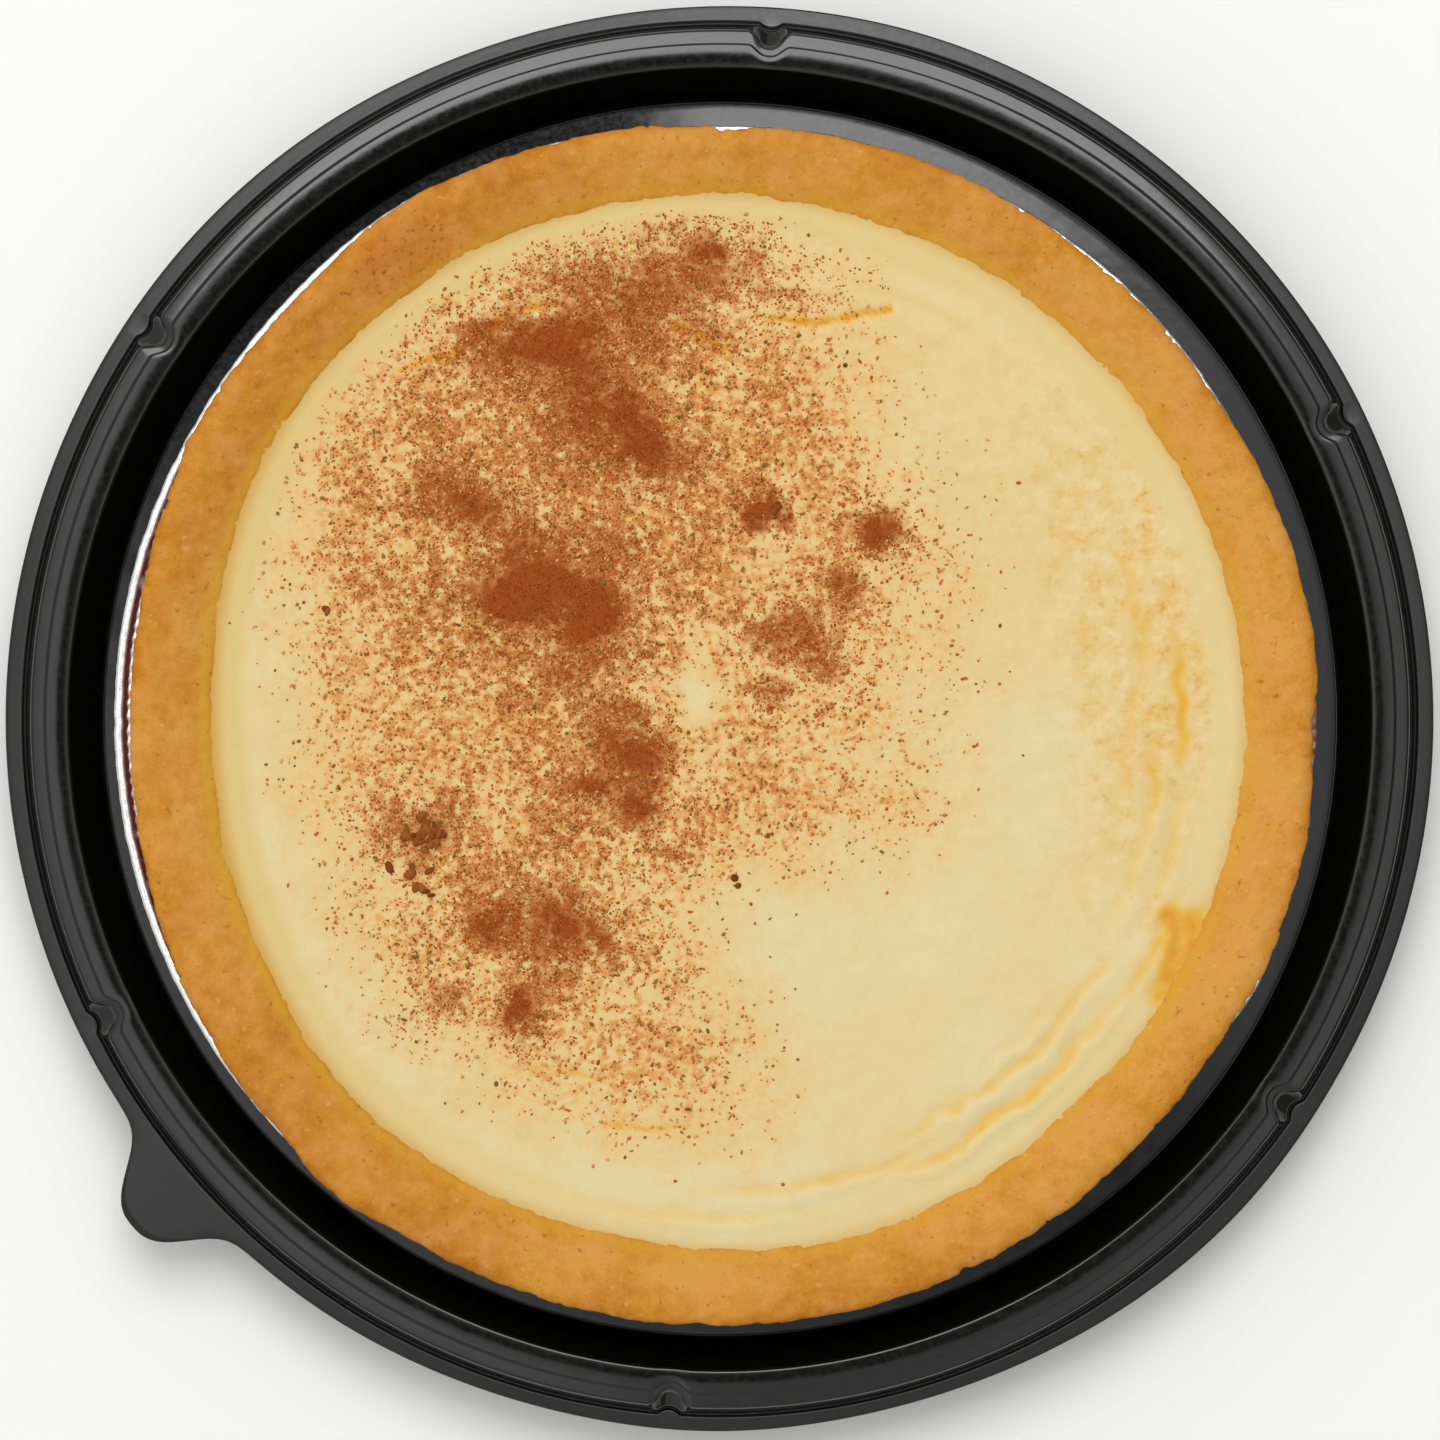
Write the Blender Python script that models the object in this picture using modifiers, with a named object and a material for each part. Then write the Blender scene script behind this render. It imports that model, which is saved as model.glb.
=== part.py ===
"""A milk tart in its foil pan, standing in the round black pack base that it comes in.

Units are metres, +Z is up, and the origin is the middle of the base's underside.
"""

import math

import bmesh
import bpy


# Shared
SEGMENTS = 72
CLEARANCE = 0.0003
SHARP_ANGLE = math.radians(32)

# Pack base: a dish with a flat floor, a hollow bead round it and a flat lip outside the bead
BASE_SHEET = 0.0008
BASE_FLOOR_RADIUS = 0.1101
BASE_LIP_RADIUS = 0.1250
BASE_LIP_TOP = 0.0170
BEAD_INNER_RADIUS = 0.1134
BEAD_OUTER_RADIUS = 0.1202
BEAD_FOOT_RADIUS = 0.1218
BEAD_HEIGHT = 0.0220
BEAD_SHOULDER = 0.0006

# Lid catches: half funnels in the bead's outer wall
CATCH_COUNT = 6
CATCH_FIRST_ANGLE = math.radians(25.8)
CATCH_CENTRE_RADIUS = 0.1212
CATCH_TOP_RADIUS = 0.0039
CATCH_FOOT_RADIUS = 0.0017
CATCH_STEP = 0.0001
CATCH_CONE_DEPTH = 0.0075
CATCH_CONE_SIDES = 16
CATCH_CONE_TWIST = 0.05

# Pull tab on the lip
TAB_ANGLE = math.radians(220.8)
TAB_REACH = 0.0110
TAB_HALF_WIDTH_ANGLE = math.radians(3.65)
TAB_STEEPNESS = 2.8
TAB_ROOT_RADIUS = 0.1236
TAB_POINTS = 25

# Foil pan
FOIL_SHEET = 0.0003
TART_OFFSET_X = -0.0009
FOIL_BOTTOM_RADIUS = 0.0800
FOIL_MOUTH_RADIUS = 0.0996
FOIL_RIM_RADIUS = 0.1047
FOIL_RIM_HEIGHT = 0.0250
FOIL_ROLL_RADIUS = 0.0008
FOIL_ROLL_STEPS = 6

# Pastry case
PASTRY_BASE = 0.0045
PASTRY_RIM_HEIGHT = 0.0278
PASTRY_EDGE_RADIUS = 0.1044
PASTRY_MOUTH_RADIUS = 0.0912
PASTRY_WALL_FOOT_RADIUS = 0.0735

# Filling
FILLING_HEIGHT = 0.0244
FILLING_SAG = 0.0003
FILLING_RINGS = (0.30, 0.58, 0.80, 0.95)

# Uneven edges of the hand-finished pastry: middle angle, half width, both in degrees, and reach
EDGE_BULGES = (
    (178, 25, -0.0026),
    (82, 22, -0.0008),
    (48, 14, -0.0009),
    (120, 6, 0.0006),
    (136, 7, -0.0011),
    (8, 9, 0.0007),
    (231, 5, 0.0014),
    (250, 16, 0.0007),
    (285, 22, 0.0013),
    (346, 7, 0.0007),
)
MOUTH_BULGES = (
    (183, 27, -0.0036),
    (212, 10, -0.0007),
    (325, 12, -0.0009),
    (300, 8, 0.0007),
    (283, 16, 0.0016),
    (0, 30, 0.0008),
    (65, 22, -0.0005),
)


def clear_scene():
    for old in list(bpy.data.objects):
        bpy.data.objects.remove(old, do_unlink=True)


def new_collection(name):
    collection = bpy.data.collections.new(name)
    bpy.context.scene.collection.children.link(collection)
    return collection


def material(name, colour, roughness, metallic=0.0):
    made = bpy.data.materials.new(name)
    made.use_nodes = True
    shader = made.node_tree.nodes["Principled BSDF"]
    shader.inputs["Base Color"].default_value = (*colour, 1.0)
    shader.inputs["Roughness"].default_value = roughness
    shader.inputs["Metallic"].default_value = metallic
    made.diffuse_color = (*colour, 1.0)
    return made


def add_object(name, mesh, collection, finish=None):
    made = bpy.data.objects.new(name, mesh)
    collection.objects.link(made)
    if finish:
        mesh.materials.append(finish)
    return made


def shade(mesh):
    mesh.shade_smooth()
    mesh.set_sharp_from_angle(angle=SHARP_ANGLE)


def turned(name, profile, collection, finish=None, ring=False):
    """A surface turned from a profile of (radius, height) points that starts at its inner end."""
    mesh = bpy.data.meshes.new(name)
    points = [(radius, 0.0, height) for radius, height in profile]
    edges = [(index, index + 1) for index in range(len(points) - 1)]
    if ring:
        edges.append((len(points) - 1, 0))
    mesh.from_pydata(points, edges, [])
    made = add_object(name, mesh, collection, finish)
    screw = made.modifiers.new("Turn", 'SCREW')
    screw.axis = 'Z'
    screw.angle = math.tau
    screw.steps = SEGMENTS
    screw.render_steps = SEGMENTS
    screw.use_merge_vertices = True
    screw.merge_threshold = 0.00001
    return made


def thicken(made, thickness):
    """Give an open sheet its thickness, below and outside the surface that was drawn."""
    wall = made.modifiers.new("Wall", 'SOLIDIFY')
    wall.thickness = thickness
    wall.offset = -1.0
    wall.use_even_offset = True


def boolean(made, cutter, operation):
    step = made.modifiers.new(cutter.name, 'BOOLEAN')
    step.operation = operation
    step.solver = 'EXACT'
    step.object = cutter
    return step


def as_cutter(made):
    made.hide_render = True
    made.display_type = 'WIRE'


def settle(made):
    """Replace an object's mesh with its evaluated one, so that its modifiers are done."""
    graph = bpy.context.evaluated_depsgraph_get()
    mesh = bpy.data.meshes.new_from_object(made.evaluated_get(graph))
    made.modifiers.clear()
    made.data = mesh


def bulge(bulges, angle):
    """The sum of smooth swellings and hollows at an angle round the rim."""
    total = 0.0
    for middle, half_width, reach in bulges:
        away = math.remainder(angle - math.radians(middle), math.tau)
        share = min(abs(away) / math.radians(1.8 * half_width), 1.0)
        total += reach * (0.5 + 0.5 * math.cos(math.pi * share))
    return total


def lofted(name, section_at, collection, finish):
    """A closed body from sections that differ from angle to angle.

    Each section runs from the axis out over the top, down the outer side and back to the axis.
    """
    sections = [section_at(math.tau * step / SEGMENTS) for step in range(SEGMENTS)]
    middle = len(sections[0]) - 2
    points = [(0.0, 0.0, sections[0][0][1])]
    for step, section in enumerate(sections):
        angle = math.tau * step / SEGMENTS
        for radius, height in section[1:-1]:
            points.append((radius * math.cos(angle), radius * math.sin(angle), height))
    points.append((0.0, 0.0, sections[0][-1][1]))
    last = len(points) - 1
    faces = []
    for step in range(SEGMENTS):
        here = 1 + step * middle
        there = 1 + (step + 1) % SEGMENTS * middle
        faces.append((0, here, there))
        for index in range(middle - 1):
            faces.append((here + index, here + index + 1, there + index + 1, there + index))
        faces.append((last, there + middle - 1, here + middle - 1))
    mesh = bpy.data.meshes.new(name)
    mesh.from_pydata(points, [], faces)
    shade(mesh)
    return add_object(name, mesh, collection, finish)


def base_profile():
    """The upper surface of the pack base, from its middle to the lip's edge."""
    shoulder = BEAD_HEIGHT - BEAD_SHOULDER
    crown = (BEAD_INNER_RADIUS + BEAD_OUTER_RADIUS) / 2
    return (
        (0.0, BASE_SHEET),
        (BASE_FLOOR_RADIUS - 0.0010, BASE_SHEET),
        (BASE_FLOOR_RADIUS, BASE_SHEET + 0.0012),
        (BEAD_INNER_RADIUS - 0.0004, shoulder - 0.0010),
        (BEAD_INNER_RADIUS + 0.0004, shoulder),
        (crown, BEAD_HEIGHT),
        (BEAD_OUTER_RADIUS - 0.0002, shoulder),
        (BEAD_OUTER_RADIUS + 0.0002, shoulder - 0.0008),
        (BEAD_FOOT_RADIUS, BASE_LIP_TOP),
        (BASE_LIP_RADIUS, BASE_LIP_TOP),
    )


def bead_body_profile():
    """A ring from the middle of the bead's sheet downwards, which trims the catches' walls."""
    half = BASE_SHEET / 2
    low = BASE_LIP_TOP - 3 * BASE_SHEET
    shoulder = BEAD_HEIGHT - BEAD_SHOULDER
    inner = BEAD_INNER_RADIUS + BASE_SHEET
    crown = (BEAD_INNER_RADIUS + BEAD_OUTER_RADIUS) / 2
    outer = BEAD_FOOT_RADIUS + half
    return (
        (inner, low),
        (inner, shoulder - half),
        (crown, BEAD_HEIGHT - half),
        (BEAD_OUTER_RADIUS - half, shoulder - half),
        (BEAD_FOOT_RADIUS - half, BASE_LIP_TOP - half / 2),
        (outer, BASE_LIP_TOP - half),
        (outer, low),
    )


def catch_cones(name, foot, grow, collection):
    """One object with a cone for each lid catch, wider at the top."""
    depth = CATCH_CONE_DEPTH
    slope = (CATCH_TOP_RADIUS - CATCH_FOOT_RADIUS) / (BEAD_HEIGHT - BASE_LIP_TOP)
    cones = []
    for index in range(CATCH_COUNT):
        angle = CATCH_FIRST_ANGLE + index * math.tau / CATCH_COUNT
        bpy.ops.mesh.primitive_cone_add(
            vertices=CATCH_CONE_SIDES,
            radius1=CATCH_FOOT_RADIUS + grow,
            radius2=CATCH_FOOT_RADIUS + grow + slope * depth,
            depth=depth,
            location=(
                CATCH_CENTRE_RADIUS * math.cos(angle),
                CATCH_CENTRE_RADIUS * math.sin(angle),
                foot + depth / 2,
            ),
            rotation=(0.0, 0.0, angle + CATCH_CONE_TWIST),
        )
        cones.append(bpy.context.object)
    bpy.ops.object.select_all(action='DESELECT')
    for cone in cones:
        cone.select_set(True)
    bpy.context.view_layer.objects.active = cones[0]
    bpy.ops.object.join()
    joined = bpy.context.object
    joined.name = name
    bpy.ops.object.transform_apply(location=True, rotation=True, scale=True)
    for owner in list(joined.users_collection):
        owner.objects.unlink(joined)
    collection.objects.link(joined)
    as_cutter(joined)
    return joined


def tab_reach(away):
    """How far the lip's outline stands out at an angle from the middle of the tab."""
    share = (away / TAB_HALF_WIDTH_ANGLE) ** TAB_STEEPNESS
    return TAB_REACH * 2.0 ** -share


def make_tab(collection):
    """The bell-shaped tab, a flat plate in the plane of the lip."""
    span = 2.0 * TAB_HALF_WIDTH_ANGLE
    outline = []
    for index in range(TAB_POINTS):
        away = span * (2.0 * index / (TAB_POINTS - 1) - 1.0)
        radius = BASE_LIP_RADIUS - 0.0001 + tab_reach(abs(away))
        angle = TAB_ANGLE + away
        outline.append((radius * math.cos(angle), radius * math.sin(angle)))
    for away in (span, 0.0, -span):
        angle = TAB_ANGLE + away
        outline.append((TAB_ROOT_RADIUS * math.cos(angle), TAB_ROOT_RADIUS * math.sin(angle)))
    curve = bpy.data.curves.new("tab_outline", 'CURVE')
    curve.dimensions = '2D'
    curve.fill_mode = 'BOTH'
    curve.extrude = BASE_SHEET / 2
    spline = curve.splines.new('POLY')
    spline.points.add(len(outline) - 1)
    for point, (x, y) in zip(spline.points, outline):
        point.co = (x, y, 0.0, 1.0)
    spline.use_cyclic_u = True
    drawn = add_object("tab_outline", curve, collection)
    drawn.location.z = BASE_LIP_TOP - BASE_SHEET / 2
    bpy.context.view_layer.update()
    graph = bpy.context.evaluated_depsgraph_get()
    mesh = bpy.data.meshes.new_from_object(drawn.evaluated_get(graph))
    weld(mesh)
    tab = add_object("tab", mesh, collection)
    tab.matrix_world = drawn.matrix_world.copy()
    bpy.data.objects.remove(drawn, do_unlink=True)
    as_cutter(tab)
    return tab


def weld(mesh):
    """Join a drawn plate's loose caps to its sides."""
    cage = bmesh.new()
    cage.from_mesh(mesh)
    bmesh.ops.remove_doubles(cage, verts=cage.verts, dist=0.00001)
    bmesh.ops.recalc_face_normals(cage, faces=cage.faces)
    cage.to_mesh(mesh)
    cage.free()


def make_pack_base(parts, cutters):
    black = material("black plastic", (0.010, 0.010, 0.010), 0.18)
    base = turned("pack_base", base_profile(), parts, black)
    thicken(base, BASE_SHEET)
    bead_body = turned("bead_body", bead_body_profile(), cutters, ring=True)
    as_cutter(bead_body)
    walls = catch_cones("catch_walls", BASE_LIP_TOP - 0.9 * BASE_SHEET, BASE_SHEET, cutters)
    hollows = catch_cones("catch_hollows", BASE_LIP_TOP + CATCH_STEP, 0.0, cutters)
    boolean(walls, bead_body, 'INTERSECT')
    boolean(base, make_tab(cutters), 'UNION')
    boolean(base, walls, 'UNION')
    boolean(base, hollows, 'DIFFERENCE')
    bpy.context.view_layer.update()
    settle(base)
    shade(base.data)
    return base


def foil_profile():
    """The inner surface of the foil pan: bottom, wall, flange and the roll round its edge."""
    bottom = BASE_SHEET + CLEARANCE + FOIL_SHEET
    profile = [
        (0.0, bottom),
        (FOIL_BOTTOM_RADIUS - 0.0015, bottom),
        (FOIL_BOTTOM_RADIUS, bottom + 0.0007),
        (FOIL_MOUTH_RADIUS, FOIL_RIM_HEIGHT - 0.0004),
        (FOIL_MOUTH_RADIUS + 0.0006, FOIL_RIM_HEIGHT),
    ]
    roll_radius = FOIL_RIM_RADIUS - FOIL_ROLL_RADIUS
    roll_height = FOIL_RIM_HEIGHT - FOIL_ROLL_RADIUS
    for step in range(FOIL_ROLL_STEPS + 1):
        turn = math.radians(90 - 210 * step / FOIL_ROLL_STEPS)
        profile.append((
            roll_radius + FOIL_ROLL_RADIUS * math.cos(turn),
            roll_height + FOIL_ROLL_RADIUS * math.sin(turn),
        ))
    return profile


def make_foil_pan(parts):
    foil = material("foil", (0.80, 0.80, 0.81), 0.28, 1.0)
    pan = turned("foil_pan", foil_profile(), parts, foil)
    thicken(pan, FOIL_SHEET)
    settle(pan)
    shade(pan.data)
    pan.location.x = TART_OFFSET_X
    return pan


def pastry_section(angle):
    """The pastry case cut at one angle: hollow side, rim, outer side against the foil."""
    edge = PASTRY_EDGE_RADIUS + bulge(EDGE_BULGES, angle)
    mouth = PASTRY_MOUTH_RADIUS + bulge(MOUTH_BULGES, angle)
    rim = PASTRY_RIM_HEIGHT + 0.0003 * math.sin(3 * angle) + 0.0002 * math.sin(7 * angle + 1)
    foot = BASE_SHEET + 2 * CLEARANCE + FOIL_SHEET
    under_rim = FOIL_RIM_HEIGHT + CLEARANCE
    slant = CLEARANCE * 1.3
    return (
        (0.0, foot + PASTRY_BASE),
        (PASTRY_WALL_FOOT_RADIUS, foot + PASTRY_BASE),
        (mouth - 0.0015, FILLING_HEIGHT - 0.0022),
        (mouth, FILLING_HEIGHT),
        (mouth + 0.0026, FILLING_HEIGHT + 0.0014),
        (mouth + 0.0064, rim - 0.0008),
        (edge - 0.0042, rim),
        (edge - 0.0016, rim - 0.0006),
        (edge - 0.0003, rim - 0.0019),
        (edge - 0.0004, under_rim),
        (FOIL_MOUTH_RADIUS + 0.0004, under_rim),
        (FOIL_MOUTH_RADIUS - slant - 0.0001, FOIL_RIM_HEIGHT - 0.0004),
        (FOIL_BOTTOM_RADIUS - slant - 0.0004, foot + 0.0006),
        (FOIL_BOTTOM_RADIUS - 0.0022, foot),
        (0.0, foot),
    )


def filling_section(angle):
    """The custard cut at one angle, level but for a slight sag towards its middle."""
    mouth = PASTRY_MOUTH_RADIUS + bulge(MOUTH_BULGES, angle) - CLEARANCE
    low = BASE_SHEET + 3 * CLEARANCE + FOIL_SHEET + PASTRY_BASE
    section = [(0.0, FILLING_HEIGHT - FILLING_SAG)]
    for share in FILLING_RINGS:
        section.append((mouth * share, FILLING_HEIGHT - FILLING_SAG * (1 - share ** 3)))
    section.append((mouth - 0.0002, FILLING_HEIGHT))
    section.append((mouth - 0.0016, FILLING_HEIGHT - 0.0022))
    section.append((PASTRY_WALL_FOOT_RADIUS - 2 * CLEARANCE, low))
    section.append((0.0, low))
    return section


def make_tart(parts):
    pastry = material("shortcrust pastry", (0.65, 0.31, 0.06), 0.75)
    custard = material("custard", (0.84, 0.66, 0.33), 0.45)
    crust = lofted("pastry_case", pastry_section, parts, pastry)
    filling = lofted("custard_filling", filling_section, parts, custard)
    for piece in (crust, filling):
        piece.location.x = TART_OFFSET_X


def main():
    clear_scene()
    parts = new_collection("milk_tart")
    cutters = new_collection("milk_tart_cutters")
    make_pack_base(parts, cutters)
    make_foil_pan(parts)
    make_tart(parts)
    bpy.context.view_layer.update()


main()
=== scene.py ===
"""A milk tart dusted with cinnamon, in its foil pan, standing in its black pack base.

Laid out as an add-on and run as a script: the operators build the visible pieces around the
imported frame, in metres, with the middle of the base's underside at the origin and +Z up.
"""

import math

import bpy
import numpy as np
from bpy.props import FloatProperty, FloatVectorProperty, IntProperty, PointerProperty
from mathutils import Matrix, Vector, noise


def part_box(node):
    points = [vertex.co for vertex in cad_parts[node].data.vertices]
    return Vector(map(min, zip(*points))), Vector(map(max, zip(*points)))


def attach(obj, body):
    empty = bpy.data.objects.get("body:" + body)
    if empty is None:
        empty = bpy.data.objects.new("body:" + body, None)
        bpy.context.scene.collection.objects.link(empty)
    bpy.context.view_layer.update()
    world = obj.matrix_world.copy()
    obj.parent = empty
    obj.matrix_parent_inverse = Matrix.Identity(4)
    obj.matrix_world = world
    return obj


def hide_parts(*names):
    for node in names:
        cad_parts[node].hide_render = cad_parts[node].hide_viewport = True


bl_info = {
    "name": "Milk tart",
    "version": (1, 0, 0),
    "blender": (4, 5, 0),
    "location": "3D View > Sidebar > Milk tart",
    "description": "Builds a milk tart with its foil pan and pack base",
    "category": "Add Mesh",
}

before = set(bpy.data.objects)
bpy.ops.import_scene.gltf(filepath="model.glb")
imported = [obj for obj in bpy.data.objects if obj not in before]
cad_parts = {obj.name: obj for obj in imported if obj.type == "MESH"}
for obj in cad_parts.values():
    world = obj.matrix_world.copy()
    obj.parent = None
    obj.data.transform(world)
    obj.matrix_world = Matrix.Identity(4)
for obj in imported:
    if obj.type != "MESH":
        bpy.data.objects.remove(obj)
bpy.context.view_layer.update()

MM = 0.001
BASE_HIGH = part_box("pack_base")[1]
FOIL_LOW, FOIL_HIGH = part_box("foil_pan")
PASTRY_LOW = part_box("pastry_case")[0]
FILLING_LOW, FILLING_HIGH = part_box("custard_filling")
TART_X = (FOIL_LOW.x + FOIL_HIGH.x) / 2

# Pack base, as the frame has it
LIP_RADIUS = BASE_HIGH.x
LIP_TOP = 17.0 * MM
FLOOR_RADIUS = 110.1 * MM
BEAD_INNER = 113.4 * MM
BEAD_OUTER = 120.2 * MM
BEAD_FOOT = 121.8 * MM
CATCH_ANGLES = [math.radians(25.8 + 60 * index) for index in range(6)]
TAB_ANGLE = math.radians(220.8)
TAB_REACH = 11.0 * MM
TAB_HALF_WIDTH = math.radians(3.65)
TAB_STEEPNESS = 2.8

# The crease at the bead's foot, the lip's fall to its edge, and the floor's rise on one side
LIP_CREASE = 0.45 * MM
LIP_FALL = 0.4 * MM
FLOOR_RISE = 0.42 * MM

# Pan, pastry and filling, as the frame has them
FOIL_BOTTOM = 80.0 * MM
FOIL_MOUTH = 99.6 * MM
FOIL_RIM = 104.7 * MM
PASTRY_EDGE = 104.45 * MM
PASTRY_MOUTH = 91.2 * MM
PASTRY_TOP = 27.8 * MM
PASTRY_THICKNESS = 4.5 * MM
PASTRY_INNER_FLOOR = 73.5 * MM

# How far the custard runs in under the crust, and how deep both turn inwards
CUSTARD_TUCK = 1.5 * MM
TUCK_DEPTH = 2.2 * MM

# Where a rim stands out or in: middle angle, half width, reach in millimetres
LIP_BULGES = (
    (45, 12, -0.25),
    (75, 10, 0.20),
    (105, 12, -0.25),
    (135, 14, 0.33),
    (180, 22, 0.20),
    (255, 12, -0.40),
    (285, 12, -0.55),
    (315, 10, 0.50),
)
FOIL_BULGES = (
    (20, 14, -0.8),
    (45, 14, -0.6),
    (70, 14, -1.1),
    (92, 10, -1.3),
    (110, 7, -0.4),
    (121, 9, 0.45),
    (147, 13, -0.45),
    (0, 4, 0.3),
    (334, 5, 1.6),
    (325, 22, -1.0),
)
EDGE_BULGES = (
    (178, 25, -2.6),
    (82, 22, -0.7),
    (89, 6, -0.8),
    (48, 14, -0.9),
    (33, 6, -0.5),
    (120, 6, 0.6),
    (136, 7, -1.1),
    (8, 9, 0.9),
    (-1, 3, -0.8),
    (231, 5, 1.4),
    (250, 16, 0.7),
    (285, 22, 1.35),
    (336, 4, 1.0),
    (346, 7, 0.7),
)
MOUTH_BULGES = (
    (183, 27, -3.6),
    (212, 10, -0.7),
    (326, 14, 0.5),
    (300, 8, 0.7),
    (283, 16, 1.6),
    (0, 30, 0.8),
    (65, 22, -0.5),
)

# Cinnamon as it fell, in millimetres seen from above: x, y, half widths, turn in degrees, strength
HEAPS = (
    (-31, 66, 9.5, 5.5, 5, 1.00),
    (-41, 68, 5.0, 3.5, 30, 0.70),
    (-24, 60, 8.0, 5.5, -50, 0.85),
    (-17, 53, 6.5, 5.0, -50, 0.85),
    (-13.5, 47.5, 5.5, 5.0, -10, 1.10),
    (-34, 22.5, 10.0, 6.0, 5, 1.10),
    (-23, 18.5, 7.0, 7.0, 0, 1.00),
    (-36, 30, 6.0, 4.5, 0, 0.80),
    (-44, 36.5, 7.5, 5.0, -20, 0.74),
    (-50, 41, 4.5, 4.0, 0, 0.62),
    (-16, 1, 3.5, 4.0, 0, 0.70),
    (-17, 11, 6.0, 6.0, 0, 0.50),
    (-16, 40, 5.0, 5.0, 0, 0.50),
    (-16, -6, 5.5, 5.5, 0, 0.85),
    (-22, -11, 3.5, 2.5, 0, 0.85),
    (-14, -15, 4.0, 6.0, 0, 0.95),
    (-29, -35, 5.5, 4.0, -25, 0.90),
    (-21, -38, 5.0, 2.5, -45, 0.85),
    (-38, -36, 7.0, 5.0, 0, 0.75),
    (-29, -36, 12, 8.0, -15, 0.72),
    (-36, -51, 2.8, 4.5, 10, 0.85),
    (-48, -49, 6.0, 3.5, 20, 0.50),
    (-10, 76, 8.0, 3.5, 0, 0.62),
    (-2, 81, 3.5, 1.8, 0, 0.85),
    (-22, 78, 8.0, 5.0, 0, 0.62),
    (-13, 68, 7.0, 6.0, 0, 0.58),
    (-20, 32, 8.0, 4.0, -30, 0.55),
    (-27, 8, 8.0, 5.0, 0, 0.55),
    (27.5, 32.5, 4.0, 3.2, -20, 0.95),
    (22, 23, 4.0, 3.2, 0, 0.72),
    (12, 14.5, 8.0, 4.5, -10, 0.70),
    (19, 9, 5.0, 2.5, -20, 0.50),
    (9, 5, 3.5, 3.5, 0, 0.62),
    (8, 57, 4.5, 4.5, 0, 0.32),
    (8.2, 37.0, 3.2, 2.0, -35, 1.10),
    (-51, -19, 8.0, 6.0, 30, 0.60),
    (-5, 70, 8.0, 4.5, -25, 0.55),
    (-32, 22, 16, 11, -12, 0.72),
    (-24, 57, 18, 10.5, -45, 0.72),
    (-44, 38, 11, 8.0, -15, 0.66),
    (-17, -7, 8.5, 13, 10, 0.72),
    (-12, 75, 14, 7.5, 5, 0.74),
    (14, 14, 9.0, 7.0, 0, 0.52),
)
DRIFTS = (
    (-22, 62, 27, 19, 10, 0.62),
    (-35, 38, 25, 20, 0, 0.56),
    (-33, 14, 28, 22, 0, 0.52),
    (-28, -14, 24, 19, 0, 0.50),
    (-32, -41, 24, 17, -20, 0.50),
    (-10, -60, 19, 12, -20, 0.27),
    (6, 44, 22, 20, 0, 0.38),
    (14, 16, 24, 18, 20, 0.36),
    (4, -14, 18, 14, 0, 0.24),
    (28, -12, 17, 12, 20, 0.13),
    (-60, 14, 11, 20, 0, 0.17),
    (-58, 44, 10, 16, 20, 0.15),
)
BARE_SPOTS = (
    (-4, 3, 4.5, 7.5, 0, 1.0),
    (-4, -9, 3.5, 4.0, 0, 0.5),
    (-9, 6, 7.0, 2.2, 0, 0.5),
    (-40, -14, 4.0, 3.5, 0, 0.45),
    (-68, 66, 18, 5.0, 45, 0.9),
    (14, -38, 20, 9.0, -10, 0.7),
)
CLUMPS = (
    (-52, -20, 3.5, 3.0, 0, 1.0),
    (-54, -28, 4.5, 2.2, -30, 0.8),
    (2.5, 37.4, 0.8, 1.0, 20, 1.0),
    (2.2, 42.6, 0.8, 0.7, 0, 0.8),
    (9.6, 36.2, 1.7, 1.1, -35, 1.0),
    (-69, 19, 0.8, 0.8, 0, 1.0),
    (-37, 22, 0.5, 0.5, 0, 1.0),
    (22, 63, 1.0, 1.6, 0, 0.6),
    (3, -29, 1.2, 0.8, 0, 0.6),
)

# Folds of the custard's skin along the rim: radius, start and end angle, sway, height, browning
# (also painted shade in the fold's groove)
FOLDS = (
    (81.5, 290, 331, 1.6, 0.40, 0.26),
    (87.0, 287, 327, 1.4, 0.50, 0.34),
    (84.2, 268, 300, 1.2, 0.30, 0.24),
    (88.4, 246, 284, 0.9, 0.20, 0.12),
    (78.5, 300, 326, 1.5, 0.20, 0.08),
    (79.0, 330, 356, 1.0, 0.20, 0.14),
    (84.0, 333, 352, 0.8, 0.26, 0.20),
    (88.0, 325, 340, 0.8, 0.30, 0.35),
    (82.8, 353, 371, 1.6, 0.26, 0.50),
    (79.0, 344, 358, 2.0, 0.22, 0.26),
    (74.0, 347, 365, 2.4, 0.18, 0.20),
    (77.5, 364, 384, 2.2, 0.18, 0.22),
    (77.0, 52, 100, 1.4, 0.14, 0.06),
    (82.0, 40, 84, 1.2, 0.14, 0.05),
    (73.0, 58, 76, 1.6, 0.12, 0.07),
)

# Cracks in the skin, in millimetres seen from above: points, width, depth, browning
CRACKS = (
    (((-56, 61), (-50, 63.5), (-46.5, 64), (-44.5, 66.7), (-40, 68.3), (-38, 70.7), (-35, 71.8),
      (-29, 72.7)), 0.6, 0.5, 1.1),
    (((8, 70.3), (14, 69.6), (19, 69.8), (22, 70.4), (30, 71.8)), 0.5, 0.4, 0.85),
    (((-9, 69.5), (-4, 67.5), (1, 64.5)), 0.6, 0.4, 0.9),
    (((-20, -71), (-13, -71.8), (-6, -71.6)), 0.5, 0.3, 0.5),
    (((79, -34.5), (80, -40), (77.5, -48)), 2.2, 0.15, 0.62),
    (((83, -36), (82, -41), (79.5, -47)), 2.9, 0.10, 0.66),
    (((-34, -61), (-27, -61.5), (-20, -63.5)), 0.5, 0.3, 0.4),
)

# Size of the clusters in which the dusting gathers
GATHERING = 1.5 * MM

# Where the smooth margin of the skin begins, as a share of the custard's radius
MARGIN_START = 0.925

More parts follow.
